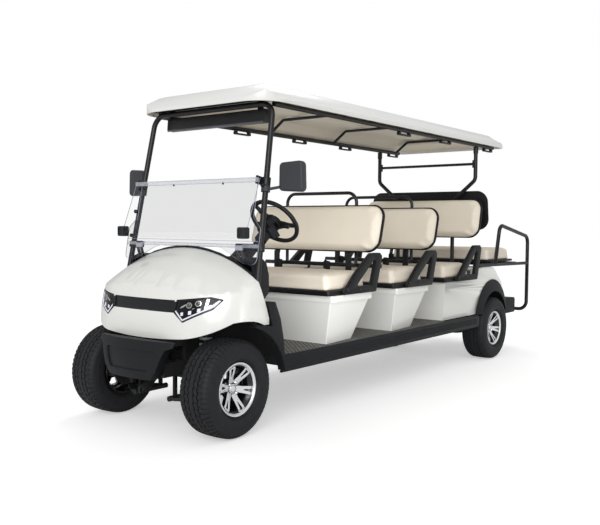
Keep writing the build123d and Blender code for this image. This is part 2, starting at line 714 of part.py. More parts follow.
# ---------------------------------------------------------------- seats
def seat_pod(y):
    """One white seat box: tapered walls under a flanged top, open below."""
    def walls(inset, low, high):
        base = [(-508, y + 28, 8), (508, y + 28, 8), (482, y + 338, 8), (-482, y + 338, 8)]
        head = [(-540, y + 24, 8), (540, y + 24, 8), (540, y + 455, 8), (-540, y + 455, 8)]
        grow = [
            [(x - inset if x > 0 else x + inset, v + inset if v < y + 100 else v - inset, r)
             for x, v, r in ring]
            for ring in (base, head)
        ]
        return loft([Plane.XY.offset(low) * outline(grow[0]), Plane.XY.offset(high) * outline(grow[1])])

    pod = walls(0, FLOOR_Z + CLEAR, 652) - walls(SKIN, FLOOR_Z, 653)
    flange = plan_slab([(-556, y + 18, 14), (556, y + 18, 14), (556, y + 468, 14), (-556, y + 468, 14)],
                       650, POD_TOP_Z)
    opening = plan_slab([(-533, y + 31, 8), (533, y + 31, 8), (533, y + 448, 8), (-533, y + 448, 8)],
                        640, POD_TOP_Z + 5)
    return pod + flange - opening


def seat_pods():
    """The two seat boxes on the open floor."""
    return Part() + [seat_pod(ROWS[0]), seat_pod(ROWS[1])]


def seat_base(y):
    """The black pan under a bench cushion."""
    pan = plan_slab([(-545, y - 5, 18), (545, y - 5, 18), (545, y + 458, 18), (-545, y + 458, 18)],
                    POD_TOP_Z + CLEAR, CUSHION_Z - CLEAR)
    return pan - plan_slab([(-522, y + 18, 12), (522, y + 18, 12), (522, y + 436, 12), (-522, y + 436, 12)],
                           POD_TOP_Z - 2, CUSHION_Z - 8)


def cushion(y0, y1, half, z0, z1):
    """A plain bench cushion with rounded corners and a rounded top edge."""
    pad = plan_slab([(-half, y0, 40), (half, y0, 40), (half, y1, 40), (-half, y1, 40)], z0, z1)
    return fillet(pad.edges().group_by(Axis.Z)[-1], 22)


BACK_HALF = 550
BACK_H = 320
BACK_PAD_T = 46
SHELL_T = 10
SEAT_BACKS = [  # (y and z of the pad's lower front edge, lean in degrees, facing)
    (ROWS[0] + 503, 955, 15, 1),
    (ROWS[1] + 503, 955, 15, 1),
    (ROWS[2] + 506, 1036, 12, 1),
    (1306, 1098, 8, -1),
]


def on_back(row, shape):
    """Moves a shape from a seat back's own frame, face on XZ towards -Y, to its place."""
    y, z, lean, facing = SEAT_BACKS[row]
    turn = Rot(-lean, 0, 0) if facing > 0 else Rot(0, 0, 180) * Rot(-lean, 0, 0)
    return Pos(0, y, z) * turn * shape


def back_outline(grow):
    """A seat back's rounded front outline, grown by grow."""
    half, low, high = BACK_HALF + grow, -grow, BACK_H + grow
    r = 90 + grow
    return [(-half, low, r), (half, low, r), (half, high, r), (-half, high, r)]


def seat_back_pads():
    """The four padded seat backs, plain, with a rounded front edge."""
    pad = front_slab(back_outline(0), 0, BACK_PAD_T)
    pad = fillet(pad.edges().group_by(Axis.Y)[0], 18)
    return Part() + [on_back(row, pad) for row in range(len(SEAT_BACKS))]


def seat_back_shells():
    """The thin black shell behind each pad."""
    shell = front_slab(back_outline(3), BACK_PAD_T + 0.5, BACK_PAD_T + SHELL_T)
    return Part() + [on_back(row, shell) for row in range(len(SEAT_BACKS))]


POST_X = 310
HOOP_TOP_Z = 1339


def seat_back_frames():
    """Behind the first two benches: two posts, a cross tube and a handrail hoop each."""
    made = []
    back = BACK_PAD_T + SHELL_T + 0.5
    for row, y in enumerate(ROWS[:2]):
        post_y = y + 548
        hoop_y = y + 659
        half = block(POST_X - 22, POST_X + 22, post_y, post_y + 10, FLOOR_Z + 1, 933)
        half += on_back(row, block(POST_X - 22, POST_X + 22, back, back + 8, -24, 200))
        half += block(POST_X - 14, POST_X + 14, post_y, hoop_y, 833, 857)
        frame = both(half) + disc(-500, 500, hoop_y, 845, 14)
        hoop = [(-300, 845), (-300, HOOP_TOP_Z), (300, HOOP_TOP_Z), (300, 845)]
        frame += tube([(x, hoop_y, z) for x, z in hoop], 11.5, 70)
        made.append(frame)
    return Part() + made


ARM_X = (552, 578)


def armrest(y, lift):
    """One hip guard on the left: a moulded loop leaning back, raised by lift at its top."""
    loop = side_slab([(y + 118, 694, 6), (y + 478, 694, 8), (y + 490, 730, 12), (y + 550, 918 + lift, 20),
                      (y + 520, 942 + lift, 26), (y + 418, 942 + lift, 36), (y + 250, 824, 30),
                      (y + 128, 712, 8)], *ARM_X)
    hole = side_slab([
        (y + 244, 738, 10), (y + 428, 738, 10), (y + 478, 896 + lift, 14), (y + 446, 896 + lift, 12),
    ], ARM_X[0] - 5, ARM_X[1] + 5)
    return both(loop - hole)


def armrests():
    """The three pairs of hip guards."""
    return Part() + [armrest(y, lift) for y, lift in zip(ROWS, (0, 0, 25))]


# ---------------------------------------------------------------- rear body
DECK_Z = 777
TAIL_TOP = (1602, 630)
TAIL_FOOT_Y = 1668
REAR_BODY_SIDE = [  # (y, z, rounding) from the front foot over the seat step to the tail
    (533, FLOOR_Z + 1, 0), (533, POD_TOP_Z, 12), (984, POD_TOP_Z, 10), (1000, DECK_Z, 24), (1432, DECK_Z, 90),
    (*TAIL_TOP, 60), (TAIL_FOOT_Y, FLOOR_Z + 1, 0),
]
REAR_BODY_FRONT = [(508, FLOOR_Z + 1, 0), (527, 640, 30), (523, 760, 24), (512, 790, 10)]
ARCH_Z = 345
ARCH_R = 280
FLARE_OUTER = (531, 362, 309)  # x, centre z, radius of the edge against the body
FLARE_LIP = (557, 325, 254)  # x, centre z, radius of the edge at the tyre
LINER_X = 350


def rear_body_form(inset):
    """The rear body as a solid, drawn in by inset."""
    def pull(corners, middle):
        return [
            (a - inset if a > middle else a + inset, z if z < 450 else z - inset, r) for a, z, r in corners
        ]

    side = pull(REAR_BODY_SIDE, 800)
    half = pull(REAR_BODY_FRONT, 0)
    front = [*half, *[(-x, z, r) for x, z, r in reversed(half)]]
    return side_slab(side, -600, 600) & front_slab(front, 400, 1800)


def rear_body():
    """The white rear body over the drive axle: seat box, deck and tail in one shell."""
    shell = rear_body_form(0)
    hollow = rear_body_form(SKIN) + block(-495, 495, 545, 1655, FLOOR_Z - 5, FLOOR_Z + 3)
    shell -= hollow
    shell -= both(disc(LINER_X - 2, 600, REAR_AXLE_Y, ARCH_Z, ARCH_R))
    return shell - block(-440, 440, 560, 955, 680, 700)


def rear_flares():
    """The black flare round each rear wheel with its inner arch liner."""
    def cone(shrink):
        faces = []
        for x, z, r in (FLARE_OUTER, FLARE_LIP):
            faces.append(Plane.YZ.offset(x) * Pos(REAR_AXLE_Y, z) * Circle(r - shrink))
        return loft(faces)

    def ring(z, r_out, r_in, x0, x1):
        return disc(x0, x1, REAR_AXLE_Y, z, r_out) - disc(x0 - 1, x1 + 1, REAR_AXLE_Y, z, r_in)

    flare = cone(0) - cone(6)
    lip_x, lip_z, lip_r = FLARE_LIP
    flare += ring(lip_z, lip_r, lip_r - 5, 538, lip_x)
    flare += ring(ARCH_Z, ARCH_R - 4, ARCH_R - 9, LINER_X, 537)
    flare += disc(LINER_X, LINER_X + 4, REAR_AXLE_Y, ARCH_Z, ARCH_R - 4)
    flare += ring(ARCH_Z, ARCH_R + 8, ARCH_R - 9, 532, 537)
    flare -= block(300, 600, REAR_AXLE_Y - 400, REAR_AXLE_Y + 400, -100, FLOOR_Z + 1)
    return both(flare)


def tail_y(z):
    """How far back the tail wall stands at height z."""
    top_y, top_z = TAIL_TOP
    return top_y + (TAIL_FOOT_Y - top_y) * (top_z - z) / (top_z - FLOOR_Z - 1)


def tail_lamps():
    """A slim lamp unit on each side of the tail."""
    high, low = 515, 445
    lamp = side_slab([(tail_y(high) + 0.5, high, 2), (tail_y(high) + 16, high, 5),
                      (tail_y(low) + 16, low, 5), (tail_y(low) + 0.5, low, 2)], 330, 450)
    return both(lamp)


REAR_POST_X = 461
REAR_POST_Y = 1174
REAR_TIE_Z = 1631


def rear_strut():
    """The rear hoop: posts that turn in between the seat backs, and a cross tube."""
    y = REAR_POST_Y
    foot_x = 262
    route = [(REAR_POST_X, 1768), (REAR_POST_X, 1500), (foot_x, 1330), (foot_x, DECK_Z + 3)]
    half = tube([(x, y, z) for x, z in route], TUBE_R, 60)
    half += rod((REAR_POST_X, y, 1716), (REAR_POST_X, y, 1769), 20)
    half += block(foot_x - 40, foot_x + 40, y - 28, y + 28, DECK_Z + CLEAR, DECK_Z + 8)
    half += block(REAR_POST_X - 24, REAR_POST_X - 8, y - 12, y + 12, REAR_TIE_Z - 31, REAR_TIE_Z + 31)
    return both(half) + disc(-REAR_POST_X + 10, REAR_POST_X - 10, y, REAR_TIE_Z, 11)


GUARD_X = 520
GUARD_Y = REAR_END - TUBE_R
STEP_TUBE_Z = 350
HINGE_Y = 1925
HINGE_Z = 790
REST_Y = 1448
BOARD_Z = 811
REAR_SEAT_Y = 1418


def rear_rail_frame():
    """The tubular guard round the rear seat, with the seat's hinge and rest tubes and the low step tube."""
    top = tube([
        (GUARD_X, 1470, HINGE_Z), (GUARD_X, 1560, 1132), (GUARD_X, GUARD_Y, 1026),
        (GUARD_X, GUARD_Y, STEP_TUBE_Z), (0, GUARD_Y, STEP_TUBE_Z),
    ], TUBE_R, [62, 74, 74])
    deck = rod((GUARD_X, 1130, HINGE_Z + 6), (GUARD_X, GUARD_Y - 2, HINGE_Z - 8), 14)
    foot = block(GUARD_X - 10, GUARD_X + 10, 1150, 1190, DECK_Z + CLEAR, HINGE_Z)
    frame = both(top + deck + foot)
    frame += disc(-GUARD_X, GUARD_X, HINGE_Y, HINGE_Z, 14)
    frame += disc(-GUARD_X, GUARD_X, REST_Y, BOARD_Z - 14, 13.5)
    bracket = block(RAIL_X - 20, RAIL_X + 20, RAIL_BACK + 0.5, GUARD_Y, STEP_TUBE_Z - 10, STEP_TUBE_Z + 10)
    return frame + both(bracket)


def rear_seat_board():
    """The flip seat's board, with three hinge knuckles on the guard's cross tube."""
    front, back = HINGE_Y - 520, HINGE_Y - 4
    plan = [(-488, front, 20), (488, front, 20), (488, back, 6), (-488, back, 6)]
    board = plan_slab(plan, BOARD_Z, BOARD_Z + 18)
    for x in (-340, 0, 340):
        board += disc(x - 32, x + 32, HINGE_Y, HINGE_Z, 22)
    return board - disc(-600, 600, HINGE_Y, HINGE_Z, 14.4)


def footplate():
    """The moulded foot platform behind the axle, open below and in front."""
    outer = side_slab([(1870, 332, 0), (1870, 462, 10), (1892, 470, 10), (2084, 468, 22), (2100, 446, 12),
                       (2096, 332, 10)], -450, 450)
    inner = side_slab([
        (1860, 320, 0), (1860, FOOTPLATE_UNDER, 0), (2082, FOOTPLATE_UNDER, 14), (2093, 444, 6),
        (2089, 320, 0),
    ], -443, 443)
    notch = block(RAIL_X - 26, RAIL_X + 26, 2075, 2110, 315, STEP_TUBE_Z + 16)
    return outer - inner - both(notch)


# ---------------------------------------------------------------- the whole cart
def cart():
    """Every sub-part by its node name."""
    nodes = {
        "chassis_frame": chassis_frame(),
        "front_suspension": front_suspension(),
        "knuckle_left": knuckle(1),
        "knuckle_right": knuckle(-1),
        "steering_rack": steering_rack(),
        "rear_axle": rear_axle(),
        "leaf_springs": leaf_springs(),
        "battery_pack": battery_pack(),
        "front_cowl": front_cowl(),
        "front_lamps": front_lamps(),
        "front_bumper": front_bumper(),
        "side_trims": side_trims(),
        "dashboard": dashboard(),
        "windscreen": windscreen(),
        "windscreen_clamps": windscreen_clamps(),
        "mirrors": mirrors(),
        "front_strut": front_strut(),
        "rear_strut": rear_strut(),
        "roof_frame": roof_frame(),
        "roof_panel": roof_panel(),
        "overhead_bar": overhead_bar(),
        "steering_column": steering_column(),
        "steering_wheel": steering_wheel(),
        "pedals": pedals(),
        "floor_panel": floor_panel(),
        "rockers": rockers(),
        "seat_pods": seat_pods(),
        "rear_body": rear_body(),
        "rear_flares": rear_flares(),
        "tail_lamps": tail_lamps(),
        "seat_back_pads": seat_back_pads(),
        "seat_back_shells": seat_back_shells(),
        "seat_back_frames": seat_back_frames(),
        "armrests": armrests(),
        "rear_rail_frame": rear_rail_frame(),
        "rear_seat_board": rear_seat_board(),
        "rear_seat_cushion": cushion(REAR_SEAT_Y, REAR_SEAT_Y + 474, 480, BOARD_Z + 19, BOARD_Z + 114),
        "footplate": footplate(),
    }
    for number, y in enumerate(ROWS, start=1):
        nodes[f"seat_base_{number}"] = seat_base(y)
        nodes[f"seat_cushion_{number}"] = cushion(
            y, y + SEAT_DEPTH, CUSHION_HALF, CUSHION_Z, CUSHION_Z + CUSHION_T
        )
    nodes.update(wheels())
    return nodes


if __name__ == "__main__":
    os.makedirs(PARTS, exist_ok=True)
    for name, shape in cart().items():
        export_step(Pos(0, -MIDDLE_Y, 0) * shape, f"{PARTS}/{name}.step")
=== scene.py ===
"""Looks of the eight-seat electric golf cart: finishes, wheels, upholstery, lamps and trim.

Metres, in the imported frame: -Y is the front of the cart, +X its left side, +Z up.
Helpers take millimetres, and places in millimetres are counted off the cabin datum.
"""
import json
import math

import bmesh
import bpy
from mathutils import Matrix, Vector

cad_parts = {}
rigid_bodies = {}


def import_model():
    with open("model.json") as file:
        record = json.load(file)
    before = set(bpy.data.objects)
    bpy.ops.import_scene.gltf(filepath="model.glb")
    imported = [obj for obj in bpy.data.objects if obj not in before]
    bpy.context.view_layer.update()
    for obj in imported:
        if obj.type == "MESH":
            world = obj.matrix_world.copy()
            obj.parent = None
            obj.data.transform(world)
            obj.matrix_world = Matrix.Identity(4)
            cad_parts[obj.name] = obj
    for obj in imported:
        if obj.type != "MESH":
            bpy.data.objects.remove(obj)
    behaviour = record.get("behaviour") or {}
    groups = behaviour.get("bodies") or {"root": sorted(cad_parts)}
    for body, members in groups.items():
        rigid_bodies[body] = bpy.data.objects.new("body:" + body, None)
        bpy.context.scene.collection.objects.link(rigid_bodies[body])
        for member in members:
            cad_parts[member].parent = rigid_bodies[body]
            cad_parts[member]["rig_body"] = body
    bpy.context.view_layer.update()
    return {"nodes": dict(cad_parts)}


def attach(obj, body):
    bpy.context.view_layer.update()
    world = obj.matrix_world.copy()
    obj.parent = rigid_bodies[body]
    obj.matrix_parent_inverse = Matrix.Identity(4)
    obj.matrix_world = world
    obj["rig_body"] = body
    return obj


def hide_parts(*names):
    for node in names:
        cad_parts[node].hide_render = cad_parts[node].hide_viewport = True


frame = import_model()
SCENE = bpy.context.scene
MM = 0.001
CABIN_DATUM = Vector((0.0, -61.5 * MM, 0.0))
MERGE = 0.02 * MM  # points closer than this are one
POLE = 0.05  # radius in mm at which a turned form closes on its axis


# ---------------- helpers
def linear(hex_colour):
    """An sRGB hex colour as linear RGBA."""
    channels = [int(hex_colour[i:i + 2], 16) / 255 for i in (1, 3, 5)]
    return [c / 12.92 if c <= 0.04045 else ((c + 0.055) / 1.055) ** 2.4 for c in channels] + [1.0]


def add_node(tree, kind, inputs, **settings):
    """Adds one shader node, sets its properties, and sets or links its inputs."""
    made = tree.nodes.new("ShaderNode" + kind)
    for key, value in settings.items():
        setattr(made, key, value)
    for key, value in inputs.items():
        if isinstance(value, bpy.types.NodeSocket):
            tree.links.new(value, made.inputs[key])
        else:
            made.inputs[key].default_value = value
    return made


def spot(x, y, z):
    """A place in metres, from millimetres off the cabin datum."""
    return Vector((x, y, z)) * MM + CABIN_DATUM


def off_datum(place):
    """The millimetres off the cabin datum of a place in metres."""
    return (place - CABIN_DATUM) / MM


def select_only(piece):
    """Makes a piece the one selected and active object."""
    bpy.ops.object.select_all(action="DESELECT")
    piece.select_set(True)
    bpy.context.view_layer.objects.active = piece


def primitive(name, kind, **settings):
    """Adds a primitive and settles its place and size into its mesh."""
    bpy.ops.object.select_all(action="DESELECT")
    getattr(bpy.ops.mesh, f"primitive_{kind}_add")(**settings)
    piece = bpy.context.view_layer.objects.active
    select_only(piece)
    bpy.ops.object.transform_apply(location=True, rotation=True, scale=True)
    piece.name = piece.data.name = name
    return piece


def modified(piece, kind, **settings):
    """Adds a modifier to a piece and applies it at once."""
    select_only(piece)
    modifier = piece.modifiers.new(kind.lower(), kind)
    for key, value in settings.items():
        setattr(modifier, key, value)
    bpy.ops.object.modifier_apply(modifier=modifier.name)
    return piece


def bevelled(piece, width, segments=3, angle=None):
    """Rounds a piece's edges: all of them, or those sharper than an angle in degrees."""
    if angle is None:
        return modified(piece, "BEVEL", width=width * MM, segments=segments, limit_method="NONE")
    return modified(piece, "BEVEL", width=width * MM, segments=segments, limit_method="ANGLE",
                    angle_limit=math.radians(angle))


def smooth(piece, degrees=40):
    """Shades a piece smooth, apart from edges sharper than an angle."""
    select_only(piece)
    bpy.ops.object.shade_smooth_by_angle(angle=math.radians(degrees))
    return piece


def joined(name, pieces):
    """Joins pieces into one."""
    bpy.ops.object.select_all(action="DESELECT")
    for piece in pieces:
        piece.select_set(True)
    bpy.context.view_layer.objects.active = pieces[0]
    if len(pieces) > 1:
        bpy.ops.object.join()
    pieces[0].name = pieces[0].data.name = name
    return pieces[0]


def moved(piece, move):
    """Moves a piece's mesh by a matrix, its faces still outwards where the matrix mirrors it."""
    piece.data.transform(move)
    if move.determinant() < 0:
        piece.data.flip_normals()
    return piece


def copied(piece, name, move=None):
    """A copy of a piece with its own mesh, moved by a matrix."""
    double = piece.copy()
    double.data = piece.data.copy()
    double.name = double.data.name = name
    SCENE.collection.objects.link(double)
    return double if move is None else moved(double, move)


def editing(piece, action="DESELECT"):
    """Opens one piece in edit mode, picking by points, with nothing or with all of it picked."""
    select_only(piece)
    bpy.ops.object.mode_set(mode="EDIT")
    bpy.ops.mesh.select_mode(type="VERT")
    bpy.ops.mesh.select_all(action=action)


def edited():
    """Leaves edit mode."""
    bpy.ops.object.mode_set(mode="OBJECT")


def picked(piece, test):
    """In edit mode, picks the faces whose middle and normal pass a test, and no others."""
    bpy.ops.mesh.select_mode(type="FACE")
    bpy.ops.mesh.select_all(action="DESELECT")
    mesh = bmesh.from_edit_mesh(piece.data)
    mesh.normal_update()
    for face in mesh.faces:
        if test(face.calc_center_median(), face.normal):
            face.select_set(True)
    mesh.select_flush_mode()
    bmesh.update_edit_mesh(piece.data)


def extruded(step):
    """In edit mode, extrudes what is picked by a step in metres."""
    bpy.ops.mesh.extrude_region_move(TRANSFORM_OT_translate={"value": step})


def raised(piece, test, width, step):
    """Insets the faces that pass a test by a width, then lifts or sinks them by a step, both in mm."""
    editing(piece)
    picked(piece, test)
    bpy.ops.mesh.inset(thickness=width * MM)
    extruded(Vector(step) * MM)
    edited()
    return piece


def tidied(piece):
    """Merges doubles and turns every face outwards."""
    editing(piece, "SELECT")
    bpy.ops.mesh.remove_doubles(threshold=MERGE)
    bpy.ops.mesh.normals_make_consistent(inside=False)
    edited()
    return piece


def wire(name, points, closed=False):
    """A line drawn as by hand: one point, extruded from place to place, and filled if closed."""
    piece = primitive(name, "plane", size=MM)
    editing(piece, "SELECT")
    bpy.ops.mesh.merge(type="CENTER")
    bpy.ops.transform.translate(value=points[0])
    for start, end in zip(points, points[1:]):
        extruded(end - start)
    if closed:
        bpy.ops.mesh.select_all(action="SELECT")
        bpy.ops.mesh.edge_face_add()
    edited()
    return piece


def plate(name, points, radius=0.0):
    """A flat face within a line of points, its corners rounded by a radius in mm."""
    piece = wire(name, points, closed=True)
    if radius:
        editing(piece, "SELECT")
        bpy.ops.mesh.bevel(offset=radius * MM, affect="VERTICES", segments=4)
        edited()
    return piece


def pushed(piece, step):
    """Extrudes a flat face into a solid, by a step in mm."""
    editing(piece, "SELECT")
    extruded(Vector(step) * MM)
    edited()
    return tidied(piece)


def hollowed(piece, width):
    """Takes the middle out of a flat face, leaving an edge of a width in mm."""
    editing(piece, "SELECT")
    bpy.ops.mesh.inset(thickness=width * MM)
    bpy.ops.mesh.delete(type="FACE")
    edited()
    return piece


def cut_fine(piece, cuts):
    """Subdivides a flat piece, so that it can follow a curved face."""
    if cuts:
        editing(piece, "SELECT")
        bpy.ops.mesh.subdivide(number_cuts=cuts)
        edited()
    return piece


def turned(name, profile, steps, move=None):
    """A turned form about the X axis from (distance along it, radius) in mm, moved by a matrix."""
    points = [Vector((u, 0, r)) * MM for u, r in profile]
    piece = wire(name, points)
    editing(piece)
    mesh = bmesh.from_edit_mesh(piece.data)
    for vert in mesh.verts:
        if min((vert.co - end).length for end in (points[0], points[-1])) < MERGE:
            vert.select_set(True)
    bmesh.update_edit_mesh(piece.data)
    bpy.ops.mesh.edge_face_add()
    bpy.ops.mesh.select_all(action="SELECT")
    bpy.ops.mesh.spin(steps=steps, angle=math.tau, center=(0, 0, 0), axis=(1, 0, 0))
    edited()
    tidied(piece)
    return piece if move is None else moved(piece, move)


def block(name, low, high):
    """A block between two corners in metres."""
    return primitive(name, "cube", size=1, location=(low + high) / 2, scale=high - low)


def brick(name, low, high, radius):
    """A block between two corners off the cabin datum, its edges rounded by a radius in mm."""
    return bevelled(block(name, spot(*low), spot(*high)), radius)


def bent_bar(name, points, radius, segments=10):
    """A round bar of a radius in mm through places in metres, smooth along its run."""
    data = bpy.data.curves.new(name, "CURVE")
    data.dimensions = "3D"
    data.bevel_depth = radius * MM
    data.bevel_resolution = 3
    data.resolution_u = segments
    data.use_fill_caps = True
    line = data.splines.new("NURBS")
    line.points.add(len(points) - 1)
    for point, place in zip(line.points, points):
        point.co = (*place, 1.0)
    line.use_endpoint_u = True
    line.order_u = min(3, len(points))
    piece = bpy.data.objects.new(name, data)
    SCENE.collection.objects.link(piece)
    select_only(piece)
    bpy.ops.object.convert(target="MESH")
    return tidied(smooth(bpy.context.view_layer.objects.active, 50))


def coated(piece, material):
    """Gives a piece one material all over."""
    piece.data.materials.clear()
    piece.data.materials.append(material)
    return piece


def painted(piece, material, test):
    """Gives the faces that pass a test of place and normal a further material."""
    piece.data.materials.append(material)
    slot_number = len(piece.data.materials) - 1
    for face in piece.data.polygons:
        if test(face.center, face.normal):
            face.material_index = slot_number
    return piece


def fitted(piece, body, slot, *nodes):
    """Gives a piece its body, and lets it stand for CAD nodes by hiding them. The slot is not used."""
    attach(piece, body)
    if nodes:
        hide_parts(*nodes)
    return piece


def both_sides(piece, material, slot):
    """Fits a left-hand piece of the body and its mirror image."""
    mirror_image = copied(piece, piece.name.replace("left", "right"), Matrix.Scale(-1, 4, (1, 0, 0)))
    for each in (piece, mirror_image):
        fitted(coated(each, material), "cart", slot)


def body_of(node):
    """The body that a CAD node belongs to."""
    return frame["nodes"][node]["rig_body"]


def lifted(node, name):
    """A copy of a CAD node in edit mode, free of the node's marks, its loose triangles merged."""
    piece = copied(frame["nodes"][node], name)
    piece.parent = None
    for key in list(piece.keys()):
        del piece[key]
    editing(piece, "SELECT")
    bpy.ops.mesh.remove_doubles(threshold=MERGE)
    return piece


def dressed(node, material, slot, edge=0.0):
    """A smooth-shaded copy of a CAD node, its corners softened by a bevel in mm, in its place."""
    piece = lifted(node, node + "_skin")
    bpy.ops.mesh.dissolve_limited(angle_limit=math.radians(1))
    edited()
    if edge:
        bevelled(piece, edge, 2, 40)
    return fitted(coated(smooth(piece, 32), material), body_of(node), slot, node)


# ---------------- finishes
def finish(name, colour, roughness, **sockets):
    """The start of a finish: a material with plain values on its shader, and its object coordinates."""
    material = bpy.data.materials.new(name)
    material.use_nodes = True
    tree = material.node_tree
    shader = tree.nodes["Principled BSDF"]
    shader.inputs["Base Color"].default_value = linear(colour)
    shader.inputs["Roughness"].default_value = roughness
    for key, value in sockets.items():
        shader.inputs[key.replace("_", " ")].default_value = value
    return material, tree, shader, add_node(tree, "TexCoord", {}).outputs["Object"]


def clouded(start, size, detail, dark, light):
    """Lets a finish drift between two close tones, in clouds of a size in mm."""
    _, tree, shader, place = start
    cloud = add_node(tree, "TexNoise", {"Vector": place, "Scale": 1 / (size * MM), "Detail": detail})
    tone = add_node(tree, "ValToRGB", {"Fac": cloud.outputs["Fac"]})
    tone.color_ramp.elements[0].color = linear(dark)
    tone.color_ramp.elements[1].color = linear(light)
    tree.links.new(tone.outputs["Color"], shader.inputs["Base Color"])


def dulled(start, size, detail, low, high):
    """Lets a finish's roughness drift between two values, in patches of a size in mm."""
    _, tree, shader, place = start
    patch = add_node(tree, "TexNoise", {"Vector": place, "Scale": 1 / (size * MM), "Detail": detail})
    spread = add_node(tree, "MapRange", {"Value": patch.outputs["Fac"], "To Min": low, "To Max": high})
    tree.links.new(spread.outputs["Result"], shader.inputs["Roughness"])


def grained(start, size, detail, strength, depth):
    """Gives a finish a fine grain, its size and depth in mm, and returns the material."""
    material, tree, shader, place = start
    grain = add_node(tree, "TexNoise", {"Vector": place, "Scale": 1 / (size * MM), "Detail": detail})
    bump = add_node(tree, "Bump", {
        "Height": grain.outputs["Fac"], "Strength": strength, "Distance": depth * MM})
    tree.links.new(bump.outputs["Normal"], shader.inputs["Normal"])
    return material


def gelcoat():
    """Polished white gelcoat: deep gloss with a faint orange peel and a breath of mottling."""
    start = finish("polished_gelcoat", "#EDEDE9", 0.24, Coat_Weight=0.7, Coat_Roughness=0.06)
    clouded(start, 300, 2.0, "#EAEAE5", "#F0F0EC")
    return grained(start, 9, 1.0, 0.05, 1)


def roof_sheet():
    """Thermoformed acrylic-capped ABS: satin gloss with a slow wave left by forming."""
    start = finish("thermoformed_abs", "#EDEDEA", 0.34, Coat_Weight=0.35, Coat_Roughness=0.15)
    return grained(start, 60, 2.0, 0.12, 3)


def powder_coat():
    """Semi-gloss black powder coat on steel tube: a fine pebble breaks up its highlights."""
    start = finish("black_powder_coat", "#141518", 0.36, Specular_IOR_Level=0.45)
    dulled(start, 45, 4.0, 0.28, 0.46)
    return grained(start, 3, 3.0, 0.25, 0.4)


def chassis_paint():
    """Matt black chassis paint, a little dusty where it has dried unevenly."""
    start = finish("matt_chassis_paint", "#131415", 0.62)
    clouded(start, 70, 5.0, "#0F1011", "#1E1F20")
    return grained(start, 70, 5.0, 0.15, 1)


def moulded(name, colour, roughness):
    """Injection-moulded plastic: a leather-like mould grain, 2.4 mm across, scatters the light."""
    start = finish(name, colour, roughness, Specular_IOR_Level=0.3)
    material, tree, shader, place = start
    dulled(start, 90, 3.0, roughness - 0.07, roughness + 0.09)
    cells = add_node(tree, "TexVoronoi", {"Vector": place, "Scale": 1 / (2.4 * MM)}, feature="SMOOTH_F1")
    bump = add_node(tree, "Bump", {
        "Height": cells.outputs["Distance"], "Strength": 0.35, "Distance": 0.5 * MM})
    tree.links.new(bump.outputs["Normal"], shader.inputs["Normal"])
    return material


def seat_vinyl():
    """Marine vinyl over foam: warm cream, a soft 4 mm hide grain and a low satin sheen."""
    start = finish("marine_vinyl", "#E6DCCB", 0.46, Specular_IOR_Level=0.4, Coat_Weight=0.12,
                   Coat_Roughness=0.35)
    material, tree, shader, place = start
    clouded(start, 160, 3.0, "#E2D7C5", "#EAE1D2")
    hide = add_node(tree, "TexVoronoi", {"Vector": place, "Scale": 1 / (4 * MM), "Randomness": 0.9},
                    feature="DISTANCE_TO_EDGE")
    crease = add_node(tree, "MapRange", {"Value": hide.outputs["Distance"], "From Max": 0.12})
    bump = add_node(tree, "Bump", {
        "Height": crease.outputs["Result"], "Strength": 0.22, "Distance": 0.4 * MM})
    tree.links.new(bump.outputs["Normal"], shader.inputs["Normal"])
    return material


def tyre_rubber():
    """Carbon-black tyre rubber: matt, with a grey bloom here and there."""
    start = finish("tyre_rubber", "#1B1C1E", 0.62, Specular_IOR_Level=0.35)
    clouded(start, 35, 4.0, "#161719", "#26272A")
    return grained(start, 2, 2.0, 0.2, 0.4)


def machined_alloy():
    """Machined aluminium under clear lacquer: bright, with a fine tool grain."""
    start = finish("machined_alloy", "#F2F3F5", 0.28, Metallic=0.45, Coat_Weight=0.4)
    return grained(start, 3, 2.0, 0.06, 0.2)


def ribbed_mat():
    """Moulded floor rubber: rows of 34 by 16 mm pads between channels; their pale grey is painted light on
    the pad tops, and the near-black channels are painted shade.
    """
    material, tree, shader, place = finish("ribbed_floor_rubber", "#27282A", 0.7)
    # Pale pads and near-black channels: painted light on the pad tops and painted shade in the channels.
    lit_pads_shaded_channels = add_node(tree, "TexBrick", {
        "Vector": place, "Scale": 10.0, "Brick Width": 0.34, "Row Height": 0.16,
        "Color1": linear("#A3A29C"), "Color2": linear("#85847F"), "Mortar": linear("#141517"),
        "Mortar Size": 0.045, "Mortar Smooth": 0.2})
    bump = add_node(tree, "Bump", {
        "Height": lit_pads_shaded_channels.outputs["Fac"], "Strength": 0.8, "Distance": 2 * MM}, invert=True)
    tree.links.new(lit_pads_shaded_channels.outputs["Color"], shader.inputs["Base Color"])
    tree.links.new(bump.outputs["Normal"], shader.inputs["Normal"])
    return material


def clear_acrylic():
    """Clear cast acrylic sheet: a faint cool grey with a polished face."""
    return finish("clear_acrylic", "#4E505C", 0.04, Alpha=0.105, IOR=1.49)[0]


def plain(name, colour, roughness, grit, strength, **sockets):
    """A small fitting's finish: one colour broken by fine grit of a size in mm."""
    return grained(finish(name, colour, roughness, **sockets), grit, 3.0, strength, 0.3)


GELCOAT = gelcoat()
ROOF = roof_sheet()
POWDER = powder_coat()
CHASSIS = chassis_paint()
VINYL = seat_vinyl()
RUBBER = tyre_rubber()
ALLOY = machined_alloy()
ACRYLIC = clear_acrylic()
MAT = ribbed_mat()
